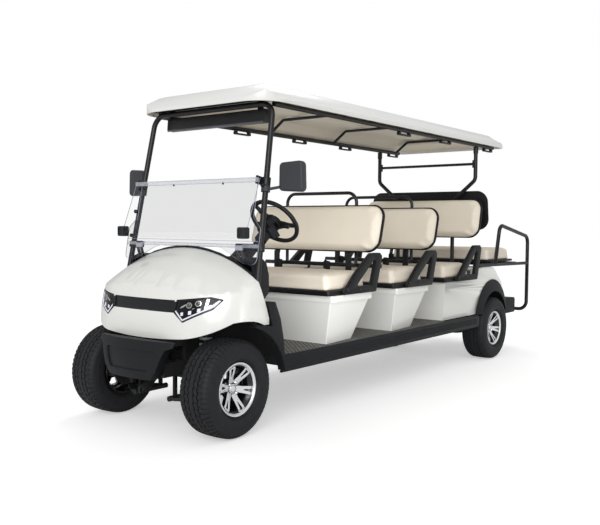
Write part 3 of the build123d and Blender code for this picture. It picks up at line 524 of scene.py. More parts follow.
# Moulded plastics and webbing: even and quiet, their grain dulls every highlight.
PLASTIC = moulded("grained_polypropylene", "#15171A", 0.5)
SHELL = moulded("black_seat_shell", "#141517", 0.42)
BAR_SATIN = moulded("satin_lamp_surround", "#1B1D20", 0.42)
BLOCK_RUBBER = moulded("moulded_stop_rubber", "#26282B", 0.6)
WHEEL_SOFT = moulded("soft_touch_polyurethane", "#1B1C1F", 0.48)
MIRROR_GREY = moulded("mirror_housing_abs", "#3A3B3F", 0.45)
BELT_WEB = moulded("polyester_belt_webbing", "#121315", 0.7)
# Polished black mouldings and enamel: they mirror the studio in sharp bands.
GLOSS_BLACK = plain("gloss_black_abs", "#0D0E10", 0.12, 8.0, 0.03, Coat_Weight=0.8)
RIM_BLACK = plain("gloss_black_wheel_enamel", "#0E0F11", 0.22, 6.0, 0.06, Coat_Weight=0.6,
                  Coat_Roughness=0.08)
LENS = plain("smoked_polycarbonate", "#07080A", 0.06, 10.0, 0.02, Specular_IOR_Level=0.25, Coat_Weight=0.25,
             Coat_Roughness=0.03)
# Lamp parts: a frosted guide with a faint glow, bright plating, and tinted lenses.
LED_WHITE = plain("led_light_guide", "#D6D8E4", 0.3, 6.0, 0.02, Emission_Color=linear("#EDEEFF"),
                  Emission_Strength=0.25)
CHROME = plain("vacuum_chrome", "#E6E8EA", 0.12, 5.0, 0.05, Metallic=1.0)
FLUTE_GREY = plain("fluted_reflector", "#6C6E82", 0.3, 4.0, 0.1, Metallic=0.6)
AMBER_GLASS = plain("projector_glass", "#4A4637", 0.08, 5.0, 0.05, Coat_Weight=0.9)
TAIL_RED = plain("red_polycarbonate", "#8E0F12", 0.15, 6.0, 0.05, Coat_Weight=0.6)
# Acrylic: clear on its faces, milky where it was sawn or drawn.
ACRYLIC_FOLD = plain("clear_acrylic_folded", "#5A5C68", 0.04, 10.0, 0.01, Alpha=0.03, IOR=1.49)
ACRYLIC_PALE = plain("acrylic_extrusion", "#DEDFE6", 0.2, 4.0, 0.05, Alpha=0.3)
ACRYLIC_EDGE = plain("sawn_acrylic_edge", "#A7AAB8", 0.35, 3.0, 0.1)
# The rest: the glass mirrors the studio, and a pale strip, paint and plain ABS are satin; the strip's grey is
# a painted highlight on the overhead bar.
MIRROR_SILVER = plain("silvered_glass", "#DDE0E3", 0.03, 20.0, 0.01, Metallic=1.0)
# Grey for the overhead bar's lower edge: a painted highlight.
BAR_HIGHLIGHT_STRIP = plain("painted_highlight_strip", "#5C5E62", 0.3, 4.0, 0.1, Metallic=0.4)
SPRING_GREY = plain("spring_paint", "#8B8D90", 0.4, 3.0, 0.1)
BATTERY = plain("battery_case_abs", "#2E3136", 0.55, 3.0, 0.2)
LINER = plain("roof_liner_abs", "#E4DCCB", 0.5, 3.0, 0.1)


# ---------------- stage, light and camera
FLOOR_SIZE = 160
FLOOR_TONE = 0.88
FLOOR_GLOW = 0.44
WORLD_LIGHT = 0.52
SUN_LIGHT = 1.45
CAMERA_PLACE = (3.183, -4.787, 1.114)
CAMERA_LENS = 45.909
AZIMUTH = math.radians(37.576)
DIP = math.radians(2.776)
ROLL = math.radians(0.449)
WHITE = (1.0, 1.0, 1.0, 1.0)


def floor():
    """A wide pale floor that keeps the cart's shadow and meets a white surround."""
    ground = primitive("studio_floor", "plane", size=FLOOR_SIZE)
    material, tree, shader, _ = finish("studio_floor", "#F0F0F0", 0.9)
    lit = add_node(tree, "BsdfDiffuse", {"Color": (FLOOR_TONE, FLOOR_TONE, FLOOR_TONE, 1.0)})
    glow = add_node(tree, "Emission", {"Color": WHITE, "Strength": FLOOR_GLOW})
    seen = add_node(tree, "AddShader", {0: lit.outputs["BSDF"], 1: glow.outputs["Emission"]})
    path = add_node(tree, "LightPath", {})
    mix = add_node(tree, "MixShader", {
        0: path.outputs["Is Camera Ray"], 1: shader.outputs["BSDF"], 2: seen.outputs["Shader"]})
    tree.links.new(mix.outputs["Shader"], tree.nodes["Material Output"].inputs["Surface"])
    ground.data.materials.append(material)


def surround():
    """A white studio: dim as a lamp and in gloss, full white to the eye and through clear sheet."""
    world = bpy.data.worlds.new("studio")
    SCENE.world = world
    world.use_nodes = True
    tree = world.node_tree
    path = add_node(tree, "LightPath", {})
    straight = add_node(tree, "Math", {
        0: path.outputs["Is Camera Ray"], 1: path.outputs["Is Transmission Ray"]}, operation="MAXIMUM")
    strength = add_node(tree, "MapRange", {
        "Value": straight.outputs["Value"], "To Min": WORLD_LIGHT, "To Max": 1.0})
    background = tree.nodes["Background"]
    background.inputs["Color"].default_value = WHITE
    tree.links.new(strength.outputs["Result"], background.inputs["Strength"])


def studio_light(name, kind, place, aim, energy, **settings):
    """A light at a place, pointing at aim, and not seen itself."""
    data = bpy.data.lights.new(name, kind)
    data.energy = energy
    for key, value in settings.items():
        setattr(data, key, value)
    light = bpy.data.objects.new(name, data)
    light.location = place
    light.rotation_euler = (Vector(aim) - Vector(place)).to_track_quat("-Z", "Y").to_euler()
    light.visible_camera = False
    SCENE.collection.objects.link(light)


def camera():
    """The eye-level three-quarter view from the front left."""
    data = bpy.data.cameras.new("view")
    data.sensor_width = 36.0
    data.lens = CAMERA_LENS
    eye = bpy.data.objects.new("view", data)
    level = Matrix.Rotation(AZIMUTH, 4, "Z") @ Matrix.Rotation(math.pi / 2 - DIP, 4, "X")
    eye.matrix_world = Matrix.Translation(CAMERA_PLACE) @ level @ Matrix.Rotation(ROLL, 4, "Z")
    SCENE.collection.objects.link(eye)
    SCENE.camera = eye


SCENE.view_settings.view_transform = "Standard"
floor()
surround()
studio_light("key", "SUN", (2.9, -4.4, 1.9), (0, 0, 0), SUN_LIGHT, angle=math.radians(45))
studio_light("strip", "AREA", (2.6, -5.2, 4.2), (0.2, -1.4, 0.7), 13.0, shape="RECTANGLE", size=3.4,
             size_y=0.5)
studio_light("top_box", "AREA", (-1.2, 1.4, 5.5), (0.2, 0, 0.7), 70.0, shape="RECTANGLE", size=3.0,
             size_y=2.0)
studio_light("cabin_fill", "AREA", (1.75, -1.85, 0.8), (0, -0.7, 0.95), 1.7, shape="SQUARE", size=0.7,
             spread=math.radians(56))
camera()


# ---------------- CAD nodes in their finishes
DRESSED = [  # (node, finish, slot, edge softening in mm); nodes with painted faces are dressed further down
    ("chassis_frame", CHASSIS, "frame_black", 1.5),
    ("knuckle_left", CHASSIS, "frame_black", 0.0),
    ("knuckle_right", CHASSIS, "frame_black", 0.0),
    ("steering_rack", CHASSIS, "frame_black", 0.0),
    ("rear_axle", CHASSIS, "frame_black", 1.0),
    ("leaf_springs", CHASSIS, "frame_black", 0.0),
    ("battery_pack", BATTERY, "battery_case", 6.0),
    ("front_cowl", GELCOAT, "body_gel", 1.5),
    ("front_bumper", PLASTIC, "trim_plastic", 2.5),
    ("side_trims", PLASTIC, "trim_plastic", 2.0),
    ("dashboard", PLASTIC, "trim_plastic", 2.5),
    ("windscreen_clamps", POWDER, "tube_black", 2.0),
    ("mirrors", MIRROR_GREY, "trim_plastic", 2.0),
    ("front_strut", POWDER, "tube_black", 0.0),
    ("rear_strut", POWDER, "tube_black", 0.0),
    ("roof_frame", POWDER, "tube_black", 0.0),
    ("overhead_bar", POWDER, "tube_black", 2.0),
    ("steering_column", PLASTIC, "trim_plastic", 1.0),
    ("pedals", POWDER, "tube_black", 2.0),
    ("rockers", PLASTIC, "trim_plastic", 1.0),
    ("seat_pods", GELCOAT, "body_gel", 2.5),
    ("rear_body", GELCOAT, "body_gel", 2.5),
    ("rear_flares", PLASTIC, "trim_plastic", 1.5),
    ("tail_lamps", TAIL_RED, "tail_lens", 1.5),
    ("seat_back_shells", SHELL, "trim_plastic", 2.0),
    ("seat_back_frames", POWDER, "tube_black", 1.5),
    ("armrests", SHELL, "trim_plastic", 5.0),
    ("rear_rail_frame", POWDER, "tube_black", 0.0),
    ("rear_seat_board", SHELL, "trim_plastic", 1.5),
    ("footplate", PLASTIC, "trim_plastic", 3.0),
    ("seat_base_1", SHELL, "trim_plastic", 2.0),
    ("seat_base_2", SHELL, "trim_plastic", 2.0),
    ("seat_base_3", SHELL, "trim_plastic", 2.0),
]
for node_name, material_of, slot_name, softening in DRESSED:
    dressed(node_name, material_of, slot_name, softening)


# ---------------- headlamps and light bar
LAMP_FACE = frame["nodes"]["front_lamps"]
LAMP_FRONT_Y = -2300
LIGHT_BAR_REACH = 238
LAMP_OUTLINE = [(246, 655), (256.5, 716.5), (430, 736), (476, 725), (443, 681), (302, 611)]
GUIDE_OUTER = [(251, 662), (266, 646), (282, 630), (298, 614.5), (315, 622), (340, 634.5), (370, 649),
               (400, 664), (420, 673.5), (438, 682), (451, 692), (462, 707), (472, 722)]
GUIDE_INNER = [(255, 667), (271, 651.5), (286, 636.5), (300, 622.5), (313, 628.5), (337, 640.5), (367, 655),
               (396, 669.5), (412, 679), (427, 689.5), (440, 701), (452, 713.5), (463, 725)]
CUBES = [(295, 650, 15, 17), (339, 659, 16, 19), (384, 673, 16, 19)]  # (x, z, width, height)
EYES = [(332, 696), (377, 707)]
FLUTE_COUNT = 17
FLUTE_START = Vector((317, 615))
FLUTE_END = Vector((440, 675.5))
REFLECTOR_STROKES = [
    [(281, 679), (289, 689), (314, 702), (315, 695.5), (298, 684)],
    [(413, 732), (426, 732.5), (423, 701), (417, 671), (407, 670.5), (410, 699)],
    [(419, 683), (437, 698), (436, 703), (417, 689)],
    [(350, 676), (362, 681), (361, 684), (349, 679)],
]


def before_lamps(corners):
    """Places in front of the left lamp from (x, z) corners."""
    return [spot(x, LAMP_FRONT_Y, z) for x, z in corners]


def laid(piece, proud, thick):
    """Lays a flat piece along Y onto the lamps' face, proud of it, and gives it a thickness, in mm."""
    modified(piece, "SHRINKWRAP", target=LAMP_FACE, wrap_method="PROJECT", use_project_y=True,
             use_positive_direction=True, use_negative_direction=False, offset=proud * MM)
    editing(piece, "SELECT")
    bpy.ops.mesh.normals_make_consistent(inside=False)
    edited()
    if sum(face.normal.y * face.area for face in piece.data.polygons) > 0:
        piece.data.flip_normals()
    return modified(piece, "SOLIDIFY", thickness=thick * MM, offset=1.0)


def split(piece, cuts):
    """Triangulates a flat piece and cuts it fine."""
    editing(piece, "SELECT")
    bpy.ops.mesh.quads_convert_to_tris()
    edited()
    return cut_fine(piece, cuts)


def lamp_patch(name, corners, cuts, radius, proud, thick):
    """A patch laid on the left lamp, from (x, z) corners rounded by a radius."""
    return laid(split(plate(name, before_lamps(corners), radius), cuts), proud, thick)


def lamp_disc(name, x, z, radius, proud, thick, edge=0.0):
    """A disc laid on the left lamp, or a ring with an edge of that width."""
    piece = primitive(name, "circle", vertices=28, radius=radius * MM, fill_type="NGON",
                      location=spot(x, LAMP_FRONT_Y, z), rotation=(math.pi / 2, 0, 0))
    return laid(hollowed(piece, edge) if edge else split(piece, 1), proud, thick)


def light_guide():
    """The LED guide: a strip of quads between two lines, drawn edge by edge."""
    outer, inner = before_lamps(GUIDE_OUTER), before_lamps(GUIDE_INNER)
    piece = wire("led_guide_left", [outer[0], inner[0]])
    editing(piece, "SELECT")
    for last, corner, across in zip(outer, outer[1:], inner[1:]):
        extruded(corner - last)
        mesh = bmesh.from_edit_mesh(piece.data)
        for vert in mesh.verts:
            if vert.select and (vert.co - corner).length > MERGE:
                vert.co = across
        bmesh.update_edit_mesh(piece.data)
    edited()
    return laid(piece, 0.4, 1.6)


def led_cubes():
    """Three slanted LED cubes."""
    cubes = []
    for x, z, wide, tall in CUBES:
        corners = [(x - wide / 2, z - tall / 2 - 1.5), (x + wide / 2, z - tall / 2 + 1.5),
                   (x + wide / 2, z + tall / 2 + 1.5), (x - wide / 2, z + tall / 2 - 1.5)]
        cubes.append(lamp_patch("cube", corners, 1, 2.0, 0.4, 1.2))
    return joined("led_cubes_left", cubes)


def led_cells():
    """A gloss frame round each LED cube."""
    cells = []
    for x, z, _, _ in CUBES:
        corners = [(x - 12, z - 14), (x + 12, z - 9), (x + 12, z + 15), (x - 12, z + 10)]
        cells.append(laid(hollowed(plate("cell", before_lamps(corners), 3.0), 1.6), 0.3, 0.9))
    return joined("led_cells_left", cells)


def reflectors():
    """What shines behind the lens: a ring at each projector with a small chrome disc on it that is a painted
    glint, four strokes and a dash.
    """
    bright = []
    for x, z in EYES:
        bright.append(lamp_disc("eye_ring", x, z, 15, 0.4, 1.8, edge=3.2))
        # A small chrome disc off each projector's middle: a painted glint on its lens.
        bright.append(lamp_disc("eye_painted_glint", x + 3.5, z + 4.5, 2.6, 2.4, 0.5))
    for corners in REFLECTOR_STROKES:
        bright.append(lamp_patch("stroke", corners, 2, 1.2, 0.4, 1.2))
    dash = [(257, 712.5), (272, 714.5), (272, 717.5), (257, 715.5)]
    bright.append(lamp_patch("dash", dash, 1, 0.8, 0.4, 0.8))
    return joined("lamp_reflectors_left", bright)


def projectors():
    """Two projector lenses."""
    return joined("lamp_eyes_left", [lamp_disc("eye", x, z, 11.5, 0.5, 1.6) for x, z in EYES])


def flutes():
    """A row of slanted flutes above the guide."""
    row = []
    for number in range(FLUTE_COUNT):
        x, z = FLUTE_START.lerp(FLUTE_END, number / (FLUTE_COUNT - 1))
        corners = [(x, z + 0.6), (x + 3.4, z + 2.2), (x - 0.6, z + 7.4), (x - 4, z + 5.8)]
        row.append(lamp_patch("flute", corners, 0, 0.0, 0.3, 1.0))
    return joined("lamp_flutes_left", row)


def lamp_bezel():
    """The satin edge round the lamp unit."""
    bezel = hollowed(plate("lamp_bezel_left", before_lamps(LAMP_OUTLINE), 5.0), 4.2)
    return laid(cut_fine(bezel, 5), 0.2, 1.6)


def lamp_joint():
    """The satin cover between the lamp unit and the light bar."""
    return lamp_patch("lamp_joint_left", [(228, 659), (250, 660), (258, 712), (228, 713)], 0, 0.0, 2.6, 1.6)


painted(dressed("front_lamps", LENS, "lamp_lens", 1.2), BAR_SATIN,
        lambda place, normal: abs(place.x) < LIGHT_BAR_REACH * MM)
for make, material_of in ((light_guide, LED_WHITE), (led_cubes, LED_WHITE), (led_cells, GLOSS_BLACK),
                          (reflectors, CHROME), (projectors, AMBER_GLASS), (flutes, FLUTE_GREY),
                          (lamp_bezel, BAR_SATIN), (lamp_joint, BAR_SATIN)):
    both_sides(smooth(make()), material_of, "lamp_lens")


# ---------------- wheels
AXLE_Z = 260
WHEEL_CENTRES = {  # node ending: (x, y off the cabin datum)
    "front_left": (448, -1800), "front_right": (-448, -1800),
    "rear_left": (470, 1395), "rear_right": (-470, 1395),
}
TREAD_STEPS = 180
TYRE_PROFILE = [  # (distance from the mid plane, radius): bead, sidewall, shoulder and half of the ribs
    (74.6, 128.2), (78.3, 143.6), (86, 148), (95, 158), (100.5, 170), (102, 183), (102.3, 196),
    (101.9, 204), (103.2, 206), (103.4, 209), (102.2, 211.5), (101.2, 219), (99, 229), (95.6, 238),
    (90, 246.5), (83, 252), (77, 255.2), (71, 257), (60, 258.2), (49.5, 258.9), (48.5, 252.6),
    (42.5, 252.6), (41.5, 259.3), (31, 259.6), (20.5, 259.9), (19.5, 253.2), (14, 253.2), (13, 260), (4, 260),
]
ZIGZAG = 2.4
TREAD_CUTS = [  # (from, to off the mid plane; least radius; one step of so many, and which; depth)
    (72, 93, 0, 3, 0, 3.2), (22, 40, 255, 4, 1, 2.6), (51, 70, 255, 4, 3, 2.6),
]
SPOKE_PAIRS = 6
SPOKE_PHASE = -42
SPOKE_LEAN = 8
LEG_SIDE = [(18, 30), (44, 30), (54, 60), (76.5, 108), (78.5, 124), (60, 126)]
ROOT_SIDE = [(18, 30), (44.6, 30), (54.8, 60), (61, 73), (40, 70)]
PAD_OUTLINE = [(-24, 113), (-17, 122.5), (-6, 126.5), (0, 121.5), (6, 126.5), (17, 122.5), (24, 113),
               (13, 109), (11, 117), (-11, 117), (-13, 109)]
NUT_COUNT = 4
NUT_RADIUS = 35.5
CAP_GROOVE = (17.7, 20.4)


def off_axle(place):
    """How far a place lies from the axle's line, in mm."""
    return math.hypot(place.y, place.z) / MM


def tyre():
    """A road tyre: ribs between zigzag grooves, pressed shoulder blocks, a smooth wall with a fine ring."""
    profile = TYRE_PROFILE + [(-u, r) for u, r in reversed(TYRE_PROFILE)]
    piece = turned("tyre", profile, TREAD_STEPS)
    for vert in piece.data.vertices:
        if off_axle(vert.co) > 251 and abs(vert.co.x) < 55 * MM:
            step = round(math.atan2(vert.co.z, vert.co.y) / math.tau * TREAD_STEPS)
            vert.co.x += (ZIGZAG if step % 4 < 2 else -ZIGZAG) * MM
    editing(piece)
    for low, high, least, every, which, depth in TREAD_CUTS:
        def in_cut(place, normal):
            step = int((math.atan2(place.z, place.y) / math.tau + 1) * TREAD_STEPS)
            return low < abs(place.x) / MM < high and step % every == which and off_axle(place) > least

        picked(piece, in_cut)
        bpy.ops.mesh.extrude_region_shrink_fatten(TRANSFORM_OT_shrink_fatten={"value": -depth * MM})
    edited()
    return smooth(piece, 28)


def spoke_block(name, side, half_width, spread):
    """A block of a spoke, pointing up, from its (x, radius) side view; spread scales its width by radius."""
    piece = pushed(plate(name, [Vector((u, -half_width, r)) * MM for u, r in side]), (0, 2 * half_width, 0))
    for vert in piece.data.vertices:
        vert.co.y *= spread(vert.co.z / MM)
    return bevelled(piece, 1.1, 2, 30)


def spoke_leg():
    """One leg of a split spoke, wider near the hub."""
    return spoke_block("leg", LEG_SIDE, 7.5, lambda radius: 1.2 if radius < 70 else 1.0)


def spoke_root():
    """The solid root where two legs leave the hub as one arm."""
    return spoke_block("root", ROOT_SIDE, 17, lambda radius: 0.86 if radius > 65 else 1.0)


def spoke_pad():
    """The notched pad that ties two legs to the flange."""
    piece = pushed(plate("pad", [Vector((70, y, z)) * MM for y, z in PAD_OUTLINE]), (9.5, 0, 0))
    return bevelled(piece, 0.9, 2, 40)


def rim():
    """One alloy wheel facing +X: lip, dark barrel, hub, web and cap, six split spokes and four nuts."""
    lip = turned("lip", [(79.5, 140.8), (85.2, 141), (86, 140.2), (86, 134.5), (84.5, 132.6), (80, 130.5),
                         (77.5, 127)], 96)
    barrel = turned("barrel", [(76, 127), (-76, 127), (-79.5, 141), (-86, 141), (-86, 133), (-64, 120),
                               (-28, 104), (40, 104), (60, 113), (74, 124.5)], 72)
    hub = turned("hub", [(-16, 18.6), (-16, 44), (34, 44), (41, 47), (43, 44), (43, 31), (41, 29), (36, 27),
                         (36, 18.6)], 48)
    web = turned("web", [(22, 40), (38, 46), (40, 62), (30, 66), (22, 58)], 48)
    cap = turned("cap", [(34, POLE), (34, 25), (49, 25), (51, 23.5), (51, 20.5), (49.6, 19.8), (49.6, 17.6),
                         (51, 16.8), (52, 12), (52.4, POLE)], 40)
    parts = [coated(lip, ALLOY), coated(barrel, RIM_BLACK), coated(hub, RIM_BLACK), coated(web, RIM_BLACK)]
    parts.append(painted(coated(cap, ALLOY), RIM_BLACK, lambda place, normal: place.x > 48 * MM
                         and CAP_GROOVE[0] < off_axle(place) < CAP_GROOVE[1]))
    for pair in range(SPOKE_PAIRS):
        bearing = 360 / SPOKE_PAIRS * pair + SPOKE_PHASE
        for model, lean in ((LEG, -SPOKE_LEAN), (LEG, SPOKE_LEAN), (ROOT, 0), (PAD, 0)):
            arm = copied(model, "arm", Matrix.Rotation(math.radians(bearing + lean), 4, "X"))
            parts.append(painted(coated(arm, RIM_BLACK), ALLOY, lambda place, normal: normal.x > 0.45))
    for number in range(NUT_COUNT):
        bearing = math.tau * (number + 0.5) / NUT_COUNT
        place = Matrix.Rotation(bearing, 4, "X") @ Matrix.Translation(Vector((0, 0, NUT_RADIUS)) * MM)
        nut = turned("nut", [(40, POLE), (40, 8), (52, 8), (55, 5.5), (56, POLE)], 6, place)
        parts.append(coated(nut, CHROME))
    return smooth(joined("rim", parts), 35)


LEG, ROOT, PAD = spoke_leg(), spoke_root(), spoke_pad()
RIM, TYRE = rim(), tyre()
for ending, (centre_x, centre_y) in WHEEL_CENTRES.items():
    outwards = Matrix.Rotation(0 if centre_x > 0 else math.pi, 4, "Z")
    stand = Matrix.Translation(spot(centre_x, centre_y, AXLE_Z)) @ outwards
    road_tyre = coated(copied(TYRE, "road_tyre_" + ending, stand), RUBBER)
    fitted(road_tyre, "wheel_" + ending, "tyre_rubber", "tyre_" + ending)
    fitted(copied(RIM, "alloy_wheel_" + ending, stand), "wheel_" + ending, "alloy", "rim_" + ending)
for model in (LEG, ROOT, PAD, RIM, TYRE):
    bpy.data.objects.remove(model)


# ---------------- padded seats
PUFF_FRAMES = 20
VOXEL = 11
VINYL_CLOTH = {"quality": 5, "use_pressure": True, "uniform_pressure_force": 4.0, "tension_stiffness": 20.0,
               "compression_stiffness": 20.0, "bending_stiffness": 1.0}
BACK_PLACES = [  # (y off the cabin datum and z of the pad's lower front edge, lean, facing)
    (-508, 955, 15, 1), (255, 955, 15, 1), (1021, 1036, 12, 1), (1306, 1098, 8, -1),
]
PAD_MIDDLE = Vector((0, 0.023, 0.16))


def island(node, near, name):
    """The one solid of a CAD node whose middle is nearest to a place, as a piece of its own."""
    lifted(node, name)
    bpy.ops.mesh.separate(type="LOOSE")
    edited()
    parts = list(bpy.context.selected_objects)

    def distance(part):
        corners = [vert.co for vert in part.data.vertices]
        return (sum(corners, Vector()) / len(corners) - near).length

    kept = min(parts, key=distance)
    for part in parts:
        if part != kept:
            bpy.data.objects.remove(part)
    kept.name = kept.data.name = name
    return kept


def puffed(piece, cap, held):
    """Vinyl over foam: remeshed, blown up as cloth from its held back, capped in mm, and smoothed."""
    modified(piece, "REMESH", mode="VOXEL", voxel_size=VOXEL * MM)
    modified(piece, "SMOOTH", factor=0.5, iterations=3)
    rest = [vert.co.copy() for vert in piece.data.vertices]
    group = piece.vertex_groups.new(name="held")
    group.add([vert.index for vert in piece.data.vertices if held(vert.co)], 1.0, "REPLACE")
    select_only(piece)
    cloth = piece.modifiers.new("vinyl", "CLOTH")
    for key, value in VINYL_CLOTH.items():
        setattr(cloth.settings, key, value)
    cloth.settings.effector_weights.gravity = 0.0
    cloth.settings.vertex_group_mass = group.name
    cloth.point_cache.frame_start, cloth.point_cache.frame_end = 1, PUFF_FRAMES
    for number in range(1, PUFF_FRAMES + 1):
        SCENE.frame_set(number)
    bpy.ops.object.modifier_apply(modifier=cloth.name)
    SCENE.frame_set(1)
    for vert, start in zip(piece.data.vertices, rest):
        moved = vert.co - start
        if moved.length > cap * MM:
            vert.co = start + moved.normalized() * cap * MM
    piece.vertex_groups.clear()
    modified(piece, "SMOOTH", factor=0.5, iterations=6)
    modified(piece, "SUBSURF", levels=1, render_levels=1)
    return smooth(piece, 60)


def back_place(row):
    """From a seat back's own frame, face on XZ towards -Y, to its place."""
    y, z, lean, facing = BACK_PLACES[row]
    turn = Matrix.Rotation(math.radians(-lean), 4, "X")
    if facing < 0:
        turn = Matrix.Rotation(math.pi, 4, "Z") @ turn
    return Matrix.Translation(spot(0, y, z)) @ turn


def seat_backs():
    """Four padded backs from one shape, crowned in front and held to their shells behind."""
    pad = island("seat_back_pads", back_place(0) @ PAD_MIDDLE, "back_model")
    moved(pad, back_place(0).inverted())
    moved(pad, Matrix.Diagonal((0.995, 1, 0.985, 1)))
    puffed(pad, 9, lambda place: place.y > 36 * MM)
    for row in range(len(BACK_PLACES)):
        piece = coated(copied(pad, f"padded_back_{row + 1}", back_place(row)), VINYL)
        fitted(piece, "cart", "seat_vinyl", *(["seat_back_pads"] if row == 0 else []))
    bpy.data.objects.remove(pad)


def seat_cushions():
    """The bench cushions and the rear one: crowned on top, flat where they rest."""
    made = {}
    for node in ("seat_cushion_1", "seat_cushion_2", "seat_cushion_3", "rear_seat_cushion"):
        corners = [vert.co for vert in frame["nodes"][node].data.vertices]
        low = Vector([min(c[k] for c in corners) for k in range(3)])
        high = Vector([max(c[k] for c in corners) for k in range(3)])
        shape = tuple(round(v, 3) for v in high - low)
        if shape not in made:
            pad = island(node, (low + high) / 2, "cushion_model")
            wide, deep, _ = shape
            moved(pad, Matrix.Translation(-low))
            moved(pad, Matrix.Diagonal((0.99, 0.988, 0.97, 1)))
            moved(pad, Matrix.Translation((wide * 0.005, deep * 0.006, 0)))
            made[shape] = puffed(pad, 10, lambda place: place.z < 14 * MM)
        piece = coated(copied(made[shape], "padded_" + node, Matrix.Translation(low)), VINYL)
        fitted(piece, body_of(node), "seat_vinyl", node)
    for pad in made.values():
        bpy.data.objects.remove(pad)


seat_backs()
seat_cushions()


# ---------------- windscreen
FACING_FRONT = Matrix.Rotation(-math.pi / 2, 4, "Z")  # turns a turned form's end towards the front
PANE_SLOPE = 0.1875
PANE_SPREAD = 1.06
FOLD_TOP = 1040
FOLD_LIFT = 25
LINE_RADIUS = 1.1
STUD_PROFILE = [(0, POLE), (0, 6.5), (2.5, 6.5), (4.5, 4.5), (5, POLE)]
KNOB_PROFILE = [(0, POLE), (0, 6), (10, 6), (12, 11), (22, 12), (25, 9), (26, POLE)]


def lower_pane_y(z):
    """How far forward the lower pane stands at height z, in mm."""
    return -1568.75 - (1372 - z) * PANE_SLOPE


def on_lower_pane(place):
    """Whether a place in metres belongs to the lower pane."""
    _, y, z = off_datum(place)
    return y < lower_pane_y(z) - 10


def panes():
    """Clear panes with pale sawn edges; the lower one reaches out to the struts and ends in a fold."""
    piece = dressed("windscreen", ACRYLIC, "screen_acrylic", 0.6)
    for vert in piece.data.vertices:
        if on_lower_pane(vert.co):
            vert.co.x *= PANE_SPREAD
            if vert.co.z < FOLD_TOP * MM:
                vert.co += Vector((0, FOLD_LIFT * 0.37, FOLD_LIFT)) * MM
    painted(piece, ACRYLIC_FOLD, lambda place, normal: on_lower_pane(place))
    painted(piece, ACRYLIC_EDGE, lambda place, normal: abs(normal.y) < 0.55)


def screen_strips():
    """The hinge strip between the panes, the foot strip, and the bright lines along both."""
    foot_y = lower_pane_y(1000) - 5
    strip = brick("screen_hinge_strip", (-496, -1606, 1346), (496, -1601, 1369), 1.2)
    foot = brick("screen_foot_strip", (-530, foot_y - 4, 992), (530, foot_y, 1009), 1.2)
    for piece in (strip, foot):
        fitted(coated(piece, ACRYLIC_PALE), "cart", "screen_acrylic")
    lines = []
    for reach, y, z in ((496, -1606, 1369), (496, -1607, 1346), (530, foot_y - 1, 1027),
                        (530, foot_y - 5, 1009), (530, foot_y - 5, 992)):
        lines.append(bent_bar("line", [spot(x, y, z) for x in (-reach, 0, reach)], LINE_RADIUS))
    fitted(coated(joined("screen_bead_lines", lines), ACRYLIC_EDGE), "cart", "screen_acrylic")


def screen_fittings():
    """Studs on the hinge strip, and on each side a rubber stop, a tab on two legs and three knobs."""
    studs = [turned("stud", STUD_PROFILE, 20, Matrix.Translation(spot(x, -1606, 1343)) @ FACING_FRONT)
             for x in (-155, 240)]
    fitted(coated(joined("screen_studs", studs), GLOSS_BLACK), "cart", "trim_plastic")

    stop = brick("screen_stop_left", (458, -1738, 1041), (512, -1686, 1102), 9)
    raised(stop, lambda place, normal: normal.y < -0.95, 9, (0, 4, 0))
    both_sides(stop, BLOCK_RUBBER, "trim_plastic")

    tab = brick("screen_tab_left", (380, -1664, 976), (428, -1644, 1006), 5)
    both_sides(tab, ACRYLIC_EDGE, "screen_acrylic")
    cap = brick("cap", (386, -1668, 1004), (420, -1644, 1014), 4.5)
    legs = [bent_bar("leg", [spot(x, -1654, 978), spot(x + 2, -1648, 955), spot(x + 4, -1634, 925)], 9)
            for x in (388, 418)]
    both_sides(joined("screen_tab_legs_left", [cap, *legs]), GLOSS_BLACK, "trim_plastic")

    knobs = []
    for z in (1045, 1192, 1330):
        rise = z - 1200
        place = Matrix.Translation(spot(504 - 0.051 * rise, -1579 + PANE_SLOPE * rise, z)) @ FACING_FRONT
        knobs.append(smooth(turned("knob", KNOB_PROFILE, 20, place)))
    both_sides(joined("strut_knobs_left", knobs), PLASTIC, "trim_plastic")


panes()
screen_strips()
screen_fittings()


# ---------------- steering wheel and dash
GRIP_RADIUS = 151
WHEEL_RAKE = math.radians(41)
WHEEL_PLACE = Matrix.Translation(spot(290, -1218, 1136)) @ Matrix((
    (1, 0, 0, 0), (0, -math.sin(WHEEL_RAKE), math.cos(WHEEL_RAKE), 0),
    (0, math.cos(WHEEL_RAKE), math.sin(WHEEL_RAKE), 0), (0, 0, 0, 1)))
SPOKE_BEARINGS = (-30, 101, 222)
WING_OUTLINE = [(-40, 20), (-27, 62), (-17, 104), (-13, 146), (13, 146), (17, 104), (27, 62), (40, 20)]
DASH_CREST = [(0, 984), (60, 982), (119, 977), (176, 968), (216, 958), (260, 949), (295, 935), (343, 921),
              (377, 905), (422, 887), (460, 865), (492, 848)]


def wheel_grip():
    """The oval grip, swelling into thumb rests at the spokes."""
    grip = primitive("grip", "torus", major_radius=GRIP_RADIUS * MM, minor_radius=13 * MM, major_segments=72,
                     minor_segments=16)
    for vert in grip.data.vertices:
        angle = math.degrees(math.atan2(vert.co.x, vert.co.y))
        spread = math.hypot(vert.co.x, vert.co.y) / MM
        near = min(abs((angle - bearing + 180) % 360 - 180) for bearing in SPOKE_BEARINGS)
        swell = 1.0 + 0.18 * max(0.0, 1.0 - near / 16)
        scale = (GRIP_RADIUS + (spread - GRIP_RADIUS) * swell) / spread
        vert.co.x *= scale
        vert.co.y *= scale
    return grip


